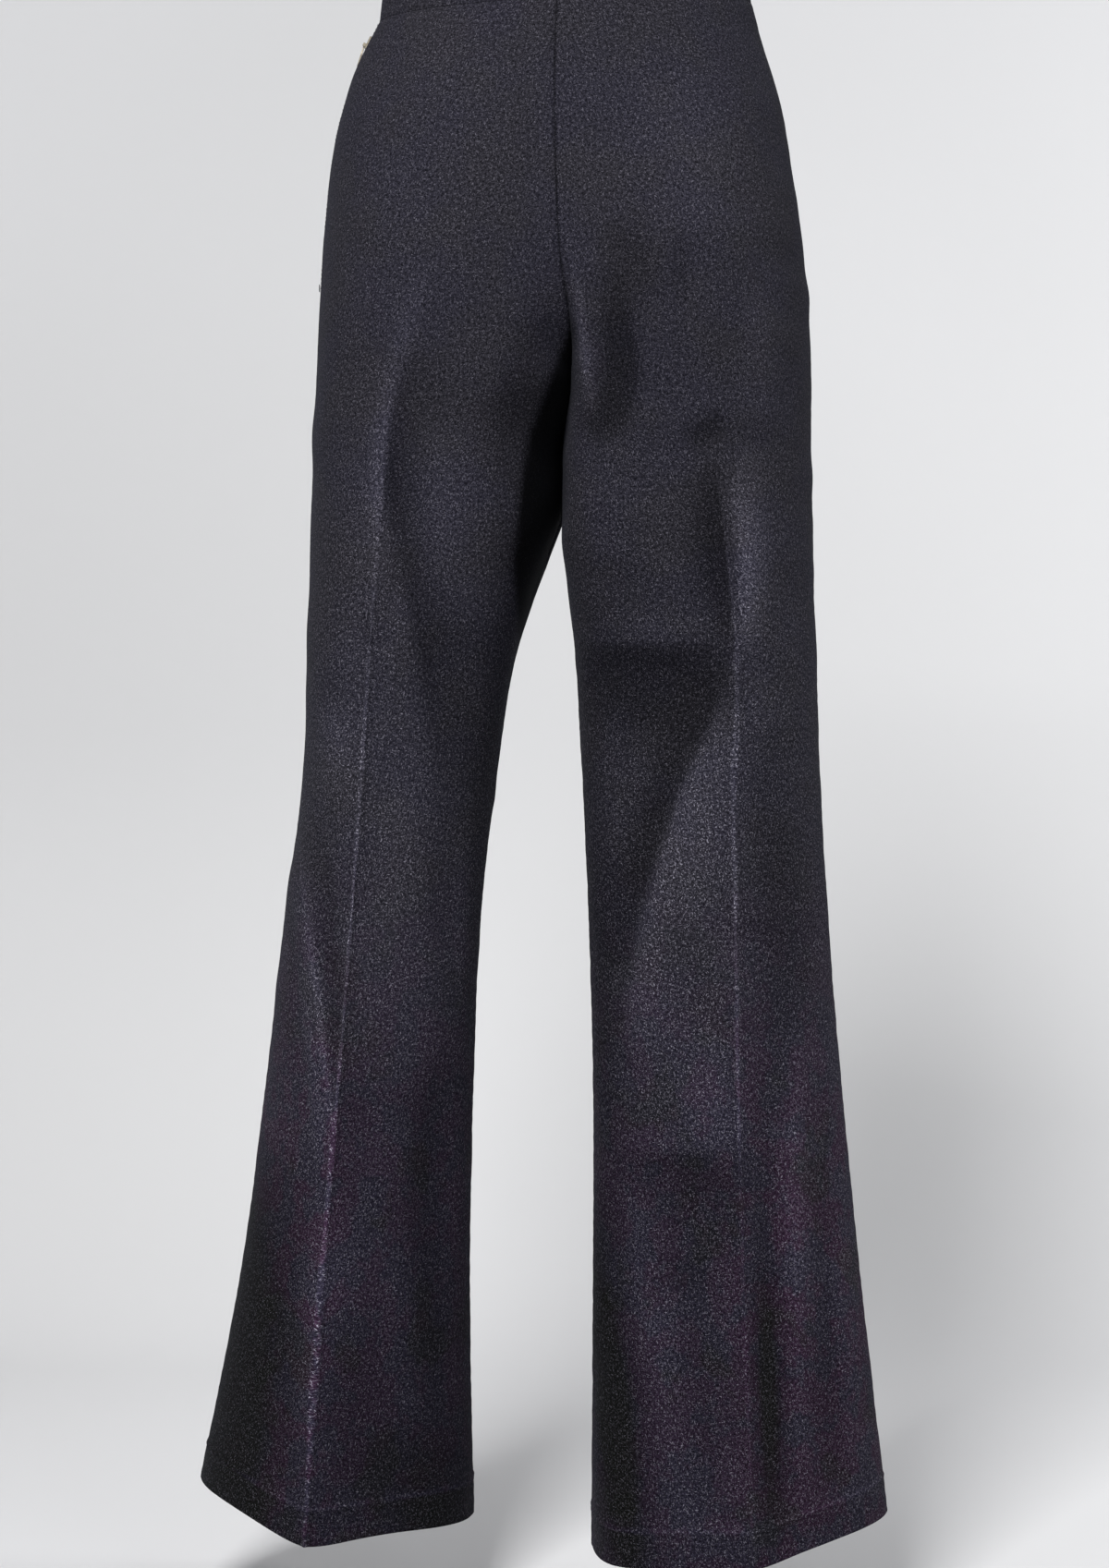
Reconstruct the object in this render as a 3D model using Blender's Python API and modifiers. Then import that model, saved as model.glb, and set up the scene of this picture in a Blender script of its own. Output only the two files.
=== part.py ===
"""High-waisted flared wool trousers, held in the hollow form they take when worn.

Four panels, a doubled waistband with a lap, a button and a side zip with its pull tab.
The waistband's centre is the origin, +Z is up, the back faces -Y and the wearer's left is -X.
"""

import math

import bmesh
import bpy
import numpy as np
from mathutils import Matrix, Vector

MM = 0.001

# Cloth and seams
WALL = 1.5 * MM
HEM_WALL = 3.0 * MM
HEM_DEPTH = 25.0 * MM
HEM_STEP = 1.5 * MM
HEM_ROWS = 2
SEAM_GAP = 0.3 * MM
ARC_COLUMNS = 8
CREASE_DIP_SHARE = 0.16
SEAM_CALM_SHARE = 0.14
FOLD_END_POWER = 0.7
CROTCH_OUTWARD = (0.8, 0.0, -0.6)
SHARP_EDGE_ANGLE = 40

# Waistband
BAND_HEIGHT = 30.0 * MM
BAND_THICK = 2.4 * MM
BAND_TAPER = 4.0 * MM
BAND_TILT = 0.05
BAND_STEPS = 84
LAP_LENGTH = 38.0 * MM
LAP_SHIFT = 14.0 * MM
UNDER_LENGTH = 6.0 * MM

# Button on the lap
BUTTON_RADIUS = 7.5 * MM
BUTTON_THICK = 2.8 * MM
BUTTON_DISH = 0.7 * MM
BUTTON_RIM = 1.6 * MM
BUTTON_EDGE_DROP = 0.1 * MM
BUTTON_FOOT_RISE = 0.4 * MM
BUTTON_STEPS = 32
BUTTON_FROM_TIP = 12.0 * MM
BUTTON_LIFT = 0.5 * MM
BUTTON_HOLE_RADIUS = 0.8 * MM
BUTTON_HOLE_SPREAD = 1.7 * MM
BUTTON_HOLES = 4
BUTTON_HOLE_SIDES = 12

# Zip slider and pull, in a frame with X out of the cloth, Y along it and Z up the side seam,
# centred on the hinge pin
PIN_FROM_WAIST = 18.0 * MM
PIN_HEIGHT = 3.2 * MM
PIN_RADIUS = 0.5 * MM
PIN_SIDES = 24
SEAM_SLOPE_REACH = 6.0 * MM
SLIDER_THICK = 1.7 * MM
SLIDER_WIDTH = 7.0 * MM
SLIDER_ABOVE_PIN = 7.0 * MM
SLIDER_BELOW_PIN = 2.5 * MM
SLIDER_ROUNDING = 0.5 * MM
LUG_WIDTH = 1.0 * MM
LUG_LENGTH = 2.4 * MM
LUG_ROOT = 0.6 * MM
LUG_OVER_PIN = 0.4 * MM
KNUCKLE_WIDTH = 3.0 * MM
KNUCKLE_RADIUS = 1.0 * MM
EYE_RADIUS = 0.62 * MM
SIDE_PLAY = 0.3 * MM
PULL_THICK = 0.9 * MM
PULL_WIDTH = 4.6 * MM
PULL_LENGTH = 16.0 * MM
PULL_NECK_END = 3.0 * MM
PULL_FULL_WIDTH_AT = 8.0 * MM
PULL_TIP_STEPS = 12
PULL_LEAN = 8.0

MERGE_DISTANCE = 0.01 * MM

# Stations run from the waist seam to the hem. z is the height of the creases and side seam,
# in_drop how far above it the inner end lies, hip_tilt the slope of the hips towards +X,
# instep the extra drop of the front crease, start the angle at which the cloth leaves the
# inner end (0 outwards, 90 along the leg's side), back_turn and front_turn the slope of the
# cloth at the creases, back_fold and front_fold half their pressed bend, and rows the number
# of mesh rows down to the next station. Lengths in mm, angles in degrees.
STATION_COLUMNS = (
    "z", "in_drop", "hip_tilt", "instep", "start",
    "back_turn", "back_fold", "front_turn", "front_fold", "rows",
)
STATIONS = {
    "waist": (-15.4, 0, 0.050, 0, 4, 20, 0, 18, 1, 1),
    "below_band": (-45, 0, 0.035, 0, 4, 19, 0, 17, 2, 1),
    "high_hip": (-85, 0, 0.020, 0, 5, 17, 0, 14, 3, 2),
    "hip": (-135, 0, 0, 0, 7, 14, 0, 12, 4, 2),
    "seat": (-185, -2, 0, 0, 10, 11, 1, 10, 5, 2),
    "low_seat": (-235, 5, 0, 0, 18, 8, 4, 8, 7, 2),
    "fork_top": (-275, 12, 0, 0, 36, 5, 9, 6, 9, 2),
    "fork": (-310, 23, 0, 0, 62, 3, 12, 4, 11, 2),
    "crotch": (-342, 46, 0, 0, 84, 2, 15, 3, 13, 2),
    "thigh": (-378, 28, 0, 0, 90, 0, 18, 2, 16, 2),
    "low_thigh": (-412, 18, 0, 0, 90, 0, 20, 1, 18, 2),
    "mid_thigh": (-460, 8, 0, 0, 90, 0, 22, 0, 20, 3),
    "above_knee": (-545, 2, 0, 0, 90, 0, 26, 0, 24, 3),
    "knee": (-640, 0, 0, 0, 90, 0, 29, 0, 27, 3),
    "calf": (-760, 0, 0, 0, 90, 0, 31, 0, 29, 4),
    "shin": (-900, 0, 0, 1, 90, 0, 33, 0, 31, 3),
    "hem": (-1059, 0, 0, -5, 90, 0, 35, 0, 33, 0),
}

# Centre seam, from the waist down the back, under the fork and up the front: x, y and z in mm
# of its back and front halves at each station down to the crotch point.
CENTRE_COLUMNS = ("back_x", "back_y", "back_z", "front_x", "front_y", "front_z")
CENTRE_SEAM = {
    "waist": (-5.5, -90.5, -15.4, 5, 93.5, -15.4),
    "below_band": (-6.5, -100.5, -45, 5.5, 98.5, -45),
    "high_hip": (-7, -111.5, -85, 5.5, 102.5, -85),
    "hip": (-6, -120.5, -135, 5, 103.5, -135),
    "seat": (-3.5, -123.5, -187, 4, 101.5, -182),
    "low_seat": (3, -107, -230.6, 3, 95.4, -224.6),
    "fork_top": (5, -74, -264, 2.5, 80.1, -259),
    "fork": (3.5, -40, -288.4, 2, 46.4, -285.4),
    "crotch": (1.5, -3, -297.5, 1.5, -3, -297.5),
}

# Each leg's lines at each station: x and y in mm of the inner seam from the crotch down, the
# back crease, the side seam and the front crease, back_lean and front_lean the angle added to
# the station's start on that half, back_full and front_full how boxy its inner part is,
# in_lift and side_lift the rise in mm of the section's two ends and heel the extra drop of its
# back crease.
LEG_COLUMNS = (
    "in_x", "in_y", "back_x", "back_y", "side_x", "side_y", "front_x", "front_y",
    "back_lean", "front_lean", "back_full", "front_full", "in_lift", "side_lift", "heel",
)
LEFT_LEG = {
    "waist": (0, 0, -62, -81.5, -128, 3, -58, 84.5, 0, 0, 1, 1, 0, 0, 0),
    "below_band": (0, 0, -72, -94.5, -141.5, 3, -64, 90.5, 0, 0, 1, 1, 0, 0, 0),
    "high_hip": (0, 0, -83, -109.5, -155, 2, -72, 95.5, 0, 0, 1, 1, 0, 0, 0),
    "hip": (0, 0, -91, -123.5, -163, 0, -80, 97.5, 0, 0, 1, 1, 0, 0, 0),
    "seat": (0, 0, -99, -131.5, -167.5, -2, -86, 95.5, 0, 0, 1, 1, 0, 0, 0),
    "low_seat": (0, 0, -107, -132.5, -170.5, -3, -90, 93.5, 22, 0, 1, 1, 0, 0, 0),
    "fork_top": (0, 0, -114, -129.5, -172.5, -3, -92, 91.5, 42, 0, 1.5, 1, 0, 0, 0),
    "fork": (0, 0, -118, -125.5, -174.5, -2, -94, 90.5, 20, 4, 1.7, 1, 0, 0, 0),
    "crotch": (1.5, -3, -121.5, -121.5, -175.5, 0, -95, 90.5, 2, 8, 2, 1, 0, 0, 0),
    "thigh": (0.9, -3, -125, -116.5, -177, 2, -94, 91.5, -7, 15, 2, 1, 0, 0, 0),
    "low_thigh": (-13, 0, -128, -112, -177.8, 4, -93, 93.5, -6, 8, 1.8, 1, 0, 0, 0),
    "mid_thigh": (-32, 3, -132, -106.5, -179.5, 6, -92, 95.5, 0, 0, 1.4, 1, 0, 0, 0),
    "above_knee": (-47.5, 9, -138, -97.5, -183.5, 10, -95, 99.5, 0, 0, 1.15, 1, 0, 0, 0),
    "knee": (-58.8, 14, -145.5, -88.5, -196.5, 14, -103, 102.5, 0, 0, 1, 1, 0, 0, 0),
    "calf": (-64.5, 18, -155.5, -85.5, -210.5, 18, -112, 107.5, 0, 0, 1, 1, -1.8, 3, 0),
    "shin": (-67.4, 21, -167.5, -89.8, -228.8, 21, -124, 114.8, 0, 0, 1.05, 1.05, -2.6, 8.6, 2),
    "hem": (-65, 21, -178.5, -99, -258.5, 20, -140, 124, 0, 0, 1.1, 1.1, -11.8, 15.3, 11),
}
RIGHT_LEG = {
    "waist": (0, 0, 60, -81.5, 129, 3, 62, 84.5, 0, 0, 1, 1, 0, 0, 0),
    "below_band": (0, 0, 68, -95.5, 137.5, 3, 66, 90.5, 0, 0, 1, 1, 0, 0, 0),
    "high_hip": (0, 0, 78, -110.5, 150, 1, 74, 95.5, 0, 0, 1, 1, 0, 0, 0),
    "hip": (0, 0, 86, -123.5, 158.5, -1, 80, 97.5, 0, 0, 1, 1, 0, 0, 0),
    "seat": (0, 0, 90, -132.5, 165.5, -3, 85, 95.5, 0, 0, 1, 1, 0, 0, 0),
    "low_seat": (0, 0, 92, -134.5, 169.5, -5, 88, 92.5, 45, 0, 1, 1, 0, 0, 0),
    "fork_top": (0, 0, 93.5, -132.5, 170.8, -6, 89, 89.5, 59, 0, 1.4, 1, 0, 0, 0),
    "fork": (0, 0, 97, -129.5, 170.5, -8, 90, 85.5, 36, -4, 1.8, 1, 0, 0, 0),
    "crotch": (1.5, -3, 101.5, -126.5, 171.1, -10, 90, 82.5, 12, -8, 2.2, 1, 0, 0, 0),
    "thigh": (2.5, -4, 107, -123.5, 172, -12, 90, 80.5, 10, -15, 2.3, 1, 0, 0, 0),
    "low_thigh": (1.5, -6, 111, -120.5, 172.5, -14, 91, 78.5, 8, -12, 1.8, 1, 0, 0, 0),
    "mid_thigh": (7, -9, 115, -118.5, 174.3, -18, 92, 75.5, 0, 0, 1.3, 1, 0, 0, 0),
    "above_knee": (12.3, -16, 113.3, -116.5, 177, -24, 96, 70.5, 0, 0, 1.05, 1.05, 0, 0, 0),
    "knee": (16.7, -24, 114.6, -118.5, 182.5, -31, 102, 64.5, 0, 0, 1.1, 1.1, 0, 0, 0),
    "calf": (19.9, -32, 116.8, -125.5, 192, -38, 108, 61.5, 0, 0, 1.15, 1.15, -2.4, 2.4, 0),
    "shin": (19.7, -38, 120.8, -135.8, 205.8, -44, 116, 60.8, 0, 0, 1.2, 1.2, -8.5, 6.2, 1),
    "hem": (19, -44, 127.1, -149, 224, -48, 124, 65, 0, 0, 2.3, 2.3, -17.5, 7.5, 6),
}

# The largest soft folds, each start_x, start_z, end_x, end_z, half_width and height in mm: its
# ends seen from the back or front and its ridge, where a negative height is a trough.
FOLDS = {
    "back_left": (
        (-112, -310, -76, -560, 15, -3.5),
        (-187, -620, -168, -820, 13, 2.2),
        (-140, -430, -96, -700, 18, 2.0),
    ),
    "back_right": (
        (112, -470, 44, -650, 16, -5.0),
        (126, -500, 62, -660, 13, 3.0),
        (24, -425, 108, -445, 18, -3.0),
        (28, -262, 100, -300, 16, -2.5),
        (155, -690, 158, -860, 12, 1.6),
    ),
    "front_left": (
        (-20, -262, -120, -305, 16, -2.5),
        (-60, -560, -140, -640, 20, -3.0),
        (-120, -400, -100, -560, 16, 2.2),
    ),
    "front_right": (
        (22, -262, 118, -300, 16, -2.5),
        (50, -590, 150, -650, 20, -3.0),
        (118, -420, 104, -560, 16, 2.2),
    ),
}

WOOL = ((0.018, 0.017, 0.024, 1.0), 0.95, 0.0)
HORN = ((0.020, 0.018, 0.018, 1.0), 0.45, 0.0)
ZIP_METAL = ((0.32, 0.30, 0.27, 1.0), 0.40, 1.0)


def column(table, columns, name):
    """One named column of a table as an array."""
    return np.array([row[columns.index(name)] for row in table.values()], dtype=float)


def smooth_through(knots, values, at):
    """A smooth curve through values at the knots, read at other places."""
    slopes = np.gradient(values, knots)
    place = np.clip(np.searchsorted(knots, at, side="right") - 1, 0, len(knots) - 2)
    span = knots[place + 1] - knots[place]
    t = (at - knots[place]) / span
    rise = values[place + 1] - values[place]
    start, end = slopes[place] * span, slopes[place + 1] * span
    return (
        values[place]
        + start * t
        + (3 * rise - 2 * start - end) * t**2
        + (start + end - 2 * rise) * t**3
    )


def row_heights():
    """The nominal height in mm of every mesh row, from the waist seam to the hem."""
    z = column(STATIONS, STATION_COLUMNS, "z")
    rows = column(STATIONS, STATION_COLUMNS, "rows").astype(int)
    heights = []
    for top, bottom, count in zip(z[:-1], z[1:], rows[:-1]):
        heights.extend(np.linspace(top, bottom, count, endpoint=False))
    fold = z[-1] + HEM_DEPTH / MM
    return np.array(heights + [fold + HEM_STEP / MM, fold, z[-1]])


def direction(angle):
    return np.array([math.cos(angle), math.sin(angle)])


def arc(start, start_way, end, end_way, steps, full=1.0):
    """A curve in plan from start to end that leaves and arrives along the given unit ways."""
    chord = np.linalg.norm(end - start)
    turn = math.acos(float(np.clip(np.dot(start_way, end_way), -1, 1)))
    reach = chord / 3
    if turn > 0.01:
        reach = chord * (2 / 3) * math.tan(turn / 4) / math.sin(turn / 2)
    t = np.linspace(0, 1, steps + 1)[:, None]
    inner = start + start_way * reach * full
    outer = end - end_way * reach
    return (
        start * (1 - t) ** 3
        + inner * 3 * t * (1 - t) ** 2
        + outer * 3 * t**2 * (1 - t)
        + end * t**3
    )


def half_section(inner, crease, side, start, turn, fold, full, out, facing):
    """Points in plan of one panel's section: inner end, crease, side seam.

    out is -1 for the left leg and 1 for the right, facing -1 at the back and 1 at the front.
    """
    mirror = np.array([out, facing])
    leave = direction(math.radians(start)) * mirror
    reach_crease = direction(math.radians(fold - turn)) * mirror
    pass_crease = direction(math.radians(-fold - turn)) * mirror
    reach_side = direction(math.radians(-90)) * mirror
    first = arc(inner, leave, crease, reach_crease, ARC_COLUMNS, full)
    second = arc(crease, pass_crease, side, reach_side, ARC_COLUMNS)
    return np.vstack([first, second[1:]])


def leg_lines(leg, heights):
    """Every line of one leg read at the mesh rows, in mm, with the centre seam above the crotch."""
    z = column(STATIONS, STATION_COLUMNS, "z")
    fork = len(CENTRE_SEAM)
    lines = {name: smooth_through(z[::-1], column(STATIONS, STATION_COLUMNS, name)[::-1], heights)
             for name in STATION_COLUMNS}
    for name in LEG_COLUMNS[2:]:
        lines[name] = smooth_through(z[::-1], column(leg, LEG_COLUMNS, name)[::-1], heights)
    drop = column(STATIONS, STATION_COLUMNS, "in_drop")
    below = heights < z[fork - 1]
    for half in ("back", "front"):
        for axis, inner_name in (("x", "in_x"), ("y", "in_y")):
            centre = column(CENTRE_SEAM, CENTRE_COLUMNS, f"{half}_{axis}")
            inseam = column(leg, LEG_COLUMNS, inner_name)[fork - 1:]
            above = smooth_through(z[:fork][::-1], centre[::-1], heights)
            under = smooth_through(z[fork - 1:][::-1], inseam[::-1], heights)
            lines[f"{half}_in_{axis}"] = np.where(below, under, above)
        centre_z = column(CENTRE_SEAM, CENTRE_COLUMNS, f"{half}_z")
        above = smooth_through(z[:fork][::-1], centre_z[::-1], heights)
        under = heights + smooth_through(z[fork - 1:][::-1], drop[fork - 1:][::-1], heights)
        lines[f"{half}_in_z"] = np.where(below, under, above)
    return lines


def fold_height(points, folds):
    """How far in mm the folds push each point out of the plain surface."""
    total = np.zeros(points.shape[:-1])
    for start_x, start_z, end_x, end_z, half_width, height in folds:
        start = np.array([start_x, start_z], dtype=float)
        run = np.array([end_x, end_z]) - start
        from_start = points[..., (0, 2)] - start
        along = from_start @ run / (run @ run)
        across = np.linalg.norm(from_start - np.clip(along, 0, 1)[..., None] * run, axis=-1)
        taper = np.sin(math.pi * np.clip(along, 0, 1)) ** FOLD_END_POWER
        total += height * taper * np.exp(-((across / half_width) ** 2))
    return total


def leg_surface(leg, out):
    """Back and front panel surfaces of one leg as grids of points in mm, before folds."""
    heights = row_heights()
    lines = leg_lines(leg, heights)
    panels = {}
    for half, facing in (("back", -1), ("front", 1)):
        dip = lines["heel"] if half == "back" else lines["instep"]
        grid = []
        for i, z in enumerate(heights):
            inner = np.array([lines[f"{half}_in_x"][i], lines[f"{half}_in_y"][i]])
            crease = np.array([lines[f"{half}_x"][i], lines[f"{half}_y"][i]])
            side = np.array([lines["side_x"][i], lines["side_y"][i]])
            start = lines["start"][i] + lines[f"{half}_lean"][i]
            plan = half_section(inner, crease, side, start, lines[f"{half}_turn"][i],
                                lines[f"{half}_fold"][i], lines[f"{half}_full"][i], out, facing)
            share = np.linspace(0, 1, len(plan))
            level = np.interp(share, (0, 0.5, 1), (lines[f"{half}_in_z"][i], z, z))
            reach = (plan[:, 0] - inner[0]) / (side[0] - inner[0])
            level = level + lines["in_lift"][i] * (1 - reach) + lines["side_lift"][i] * reach
            level = level + lines["hip_tilt"][i] * plan[:, 0]
            level = level - dip[i] * np.exp(-(((share - 0.5) / CREASE_DIP_SHARE) ** 2))
            grid.append(np.column_stack([plan, level]))
        panels[half] = np.array(grid)
    return panels


def grid_normals(grid, out, facing):
    """Unit normals of a panel grid, pointing out of the garment."""
    down = np.gradient(grid, axis=0)
    across = np.gradient(grid, axis=1)
    normal = np.cross(across, down) * (out * facing)
    return normal / np.linalg.norm(normal, axis=-1, keepdims=True)


def unit(vectors):
    return vectors / np.linalg.norm(vectors, axis=-1, keepdims=True)


def joined_normals(panels, out):
    """Normals of a leg's two panels, shared along the seams where they meet."""
    crotch = crotch_row()
    back = grid_normals(panels["back"], out, -1)
    front = grid_normals(panels["front"], out, 1)
    side = unit(back[:, -1] + front[:, -1])
    back[:, -1] = side
    front[:, -1] = side
    inseam = unit(back[crotch + 1:, 0] + front[crotch + 1:, 0])
    back[crotch + 1:, 0] = inseam
    front[crotch + 1:, 0] = inseam
    for normal in (back, front):
        normal[:crotch, 0, 0] = 0.0
        normal[:crotch, 0] = unit(normal[:crotch, 0])
        normal[crotch, 0] = np.array(CROTCH_OUTWARD) * (-out, 1, 1)
    return {"back": back, "front": front}


def crotch_row():
    rows = column(STATIONS, STATION_COLUMNS, "rows").astype(int)
    return int(rows[: len(CENTRE_SEAM) - 1].sum())


def panel_mesh(name, grid, normal, out, facing):
    """A closed wall on a panel's grid: the cloth outside, its inside and the edges between."""
    folds = fold_height(grid, FOLDS[name])
    share = np.linspace(0, 1, grid.shape[1])
    window = np.clip(np.minimum(share, 1 - share) / SEAM_CALM_SHARE, 0, 1)
    outside = grid + normal * (folds * window * window * (3 - 2 * window))[..., None]
    half_gap = SEAM_GAP / MM / 2
    crotch = crotch_row()
    outside[:, -1, 1] += facing * half_gap
    outside[: crotch + 1, 0, 0] += out * half_gap
    outside[crotch:, 0, 1] += facing * half_gap
    depth = np.full(len(outside), WALL / MM)
    depth[-HEM_ROWS:] = HEM_WALL / MM
    inside = outside - normal * depth[:, None, None]
    inside[-1, :, 2] = outside[-1, :, 2]
    inside[0, :, 2] = outside[0, :, 2]
    inside[:, -1, 1] = facing * np.maximum(facing * inside[:, -1, 1], facing * outside[:, -1, 1])
    return wall_between(name, outside, inside, -out * facing)


def wall_between(name, outside, inside, turn):
    """One closed mesh between two grids of the same size."""
    rows, columns = outside.shape[:2]
    bm = bmesh.new()
    outer = [[bm.verts.new(p * MM) for p in row] for row in outside]
    inner = [[bm.verts.new(p * MM) for p in row] for row in inside]
    for i in range(rows - 1):
        for j in range(columns - 1):
            bm.faces.new((outer[i][j], outer[i + 1][j], outer[i + 1][j + 1], outer[i][j + 1]))
            bm.faces.new((inner[i][j], inner[i][j + 1], inner[i + 1][j + 1], inner[i + 1][j]))
    for i in range(rows - 1):
        for j, way in ((0, 1), (columns - 1, -1)):
            edge = (outer[i][j], inner[i][j], inner[i + 1][j], outer[i + 1][j])
            bm.faces.new(edge[::way])
    for j in range(columns - 1):
        for i, way in ((0, 1), (rows - 1, -1)):
            edge = (outer[i][j + 1], inner[i][j + 1], inner[i][j], outer[i][j])
            bm.faces.new(edge[::way])
    if turn < 0:
        bmesh.ops.reverse_faces(bm, faces=bm.faces)
    return finished(name, bm)


def finished(name, bm):
    """A named, smoothly shaded object from a bmesh, in the garment's collection."""
    item = bm_object(name, bm)
    item.data.shade_smooth()
    item.data.set_sharp_from_angle(angle=math.radians(SHARP_EDGE_ANGLE))
    garment.objects.link(item)
    return item


def waist_ring(surfaces):
    """Points in mm round the waist seam, from the left side seam by the back and the front."""
    left_back, left_front = surfaces["left"]["back"][0], surfaces["left"]["front"][0]
    right_back, right_front = surfaces["right"]["back"][0], surfaces["right"]["front"][0]
    ring = np.vstack([
        left_back[::-1],
        right_back[1:],
        right_front[::-1][1:],
        left_front[1:],
    ])
    return ring


def along_path(points, places):
    """Points of a path at the given lengths along it."""
    steps = np.linalg.norm(np.diff(points, axis=0), axis=1)
    lengths = np.concatenate([[0], np.cumsum(steps)])
    return np.column_stack([np.interp(places, lengths, points[:, k]) for k in range(points.shape[1])])


def band_run(surfaces):
    """The waistband's run round the waist: its plan, outward ways and inward shift at each step,
    in mm, from the tip of the outer end to the tip of the end that passes under it."""
    ring = waist_ring(surfaces)[:, :2]
    total = np.linalg.norm(np.diff(ring, axis=0), axis=1).sum()
    twice = np.vstack([ring[:-1], ring[:-1], ring])
    lap = LAP_LENGTH / MM
    places = np.linspace(-lap, total + UNDER_LENGTH / MM, BAND_STEPS + 1)
    path = along_path(twice, places + total)
    tangent = unit(np.gradient(path, axis=0))
    outward = np.column_stack([tangent[:, 1], -tangent[:, 0]])
    shift = LAP_SHIFT / MM
    sink = np.clip((places - (total - lap - shift)) / shift, 0, 1)
    sink = sink * sink * (3 - 2 * sink) * (BAND_THICK + SEAM_GAP) / MM
    return path, outward, sink


def waistband(path, outward, sink):
    """A doubled strip round the waist whose front end passes under its back end."""
    bottom = waist_seam_level(path) + SEAM_GAP / MM
    corners = ((0.0, 0.0), (0.0, 0.5), (0.0, 1.0), (1.0, 1.0), (1.0, 0.5), (1.0, 0.0))
    sections = []
    for inset, share in corners:
        depth = sink + (inset * BAND_THICK + share * BAND_TAPER) / MM
        plan = path - outward * depth[:, None]
        sections.append(np.column_stack([plan, bottom + share * BAND_HEIGHT / MM]))
    sections = np.stack(sections, axis=1)
    bm = bmesh.new()
    verts = [[bm.verts.new(p * MM) for p in section] for section in sections]
    for here, after in zip(verts, verts[1:]):
        for k in range(len(corners)):
            n = (k + 1) % len(corners)
            bm.faces.new((here[k], here[n], after[n], after[k]))
    bm.faces.new(verts[0][::-1])
    bm.faces.new(verts[-1])
    bmesh.ops.recalc_face_normals(bm, faces=bm.faces)
    return finished("waistband", bm)


def button_frame(path, outward):
    """The button's frame on the lap's outer face: Z points out of the cloth."""
    steps = np.linalg.norm(np.diff(path, axis=0), axis=1)
    lengths = np.concatenate([[0], np.cumsum(steps)]) * MM
    plan = [np.interp(BUTTON_FROM_TIP, lengths, path[:, k]) for k in range(2)]
    way = [np.interp(BUTTON_FROM_TIP, lengths, outward[:, k]) for k in range(2)]
    out = Vector((way[0], way[1], BAND_TAPER / BAND_HEIGHT)).normalized()
    level = float(waist_seam_level(np.array([plan]))[0]) + (SEAM_GAP + BAND_HEIGHT / 2) / MM
    foot = Vector((plan[0], plan[1], level)) * MM
    foot -= Vector((way[0], way[1], 0)) * BAND_TAPER / 2
    along = Vector((0, 0, 1)).cross(out).normalized()
    up = out.cross(along)
    turn = Matrix((along, up, out)).transposed().to_4x4()
    return Matrix.Translation(foot + out * BUTTON_LIFT) @ turn


def waist_seam_level(path):
    return column(STATIONS, STATION_COLUMNS, "z")[0] + BAND_TILT * path[:, 0]


def box(name, low, high):
    """A plain block between two corners, in its own frame."""
    bm = bmesh.new()
    bmesh.ops.create_cube(bm, size=1.0)
    low, high = np.array(low), np.array(high)
    for vert in bm.verts:
        vert.co = Vector((low + high) / 2 + np.array(vert.co) * (high - low))
    return bm_object(name, bm)


def rod(name, radius, length, sides=PIN_SIDES, axis="Y"):
    """A round bar centred on its frame's origin along its Y or Z axis."""
    bm = bmesh.new()
    turn = Matrix.Rotation(math.radians(90), 4, "X") if axis == "Y" else Matrix.Identity(4)
    bmesh.ops.create_cone(bm, cap_ends=True, segments=sides, radius1=radius, radius2=radius,
                          depth=length, matrix=turn)
    return bm_object(name, bm)


def bm_object(name, bm):
    mesh = bpy.data.meshes.new(name)
    bm.to_mesh(mesh)
    bm.free()
    return bpy.data.objects.new(name, mesh)


def keep(item, look, place):
    """Puts a finished piece in the garment at its place."""
    garment.objects.link(item)
    item.matrix_world = place
    item.data.materials.append(look)
    return item


def combine(item, tool, operation, place):
    """Joins a tool to a piece or cuts it out; the tool stays as a wire guide."""
    guides.objects.link(tool)
    tool.matrix_world = place
    tool.hide_render = True
    tool.display_type = "WIRE"
    boolean = item.modifiers.new(tool.name, "BOOLEAN")
    boolean.operation = operation
    boolean.object = tool
    boolean.solver = "EXACT"


def seam_frame(seam, below_waist):
    """The frame of the left side seam at a length below the waist seam: its point in metres and
    its axes out of the cloth, along it and up it."""
    steps = np.linalg.norm(np.diff(seam, axis=0), axis=1)
    lengths = np.concatenate([[0], np.cumsum(steps)]) * MM
    point = np.array([np.interp(below_waist, lengths, seam[:, k]) for k in range(3)])
    low, high = below_waist + SEAM_SLOPE_REACH, below_waist - SEAM_SLOPE_REACH
    after = np.array([np.interp(low, lengths, seam[:, k]) for k in range(3)])
    before = np.array([np.interp(high, lengths, seam[:, k]) for k in range(3)])
    up = Vector(before - after).normalized()
    along = Vector((0, -1, 0))
    out = along.cross(up).normalized()
    turn = Matrix((out, along, up)).transposed().to_4x4()
    return Matrix.Translation(Vector(point * MM)) @ turn


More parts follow.
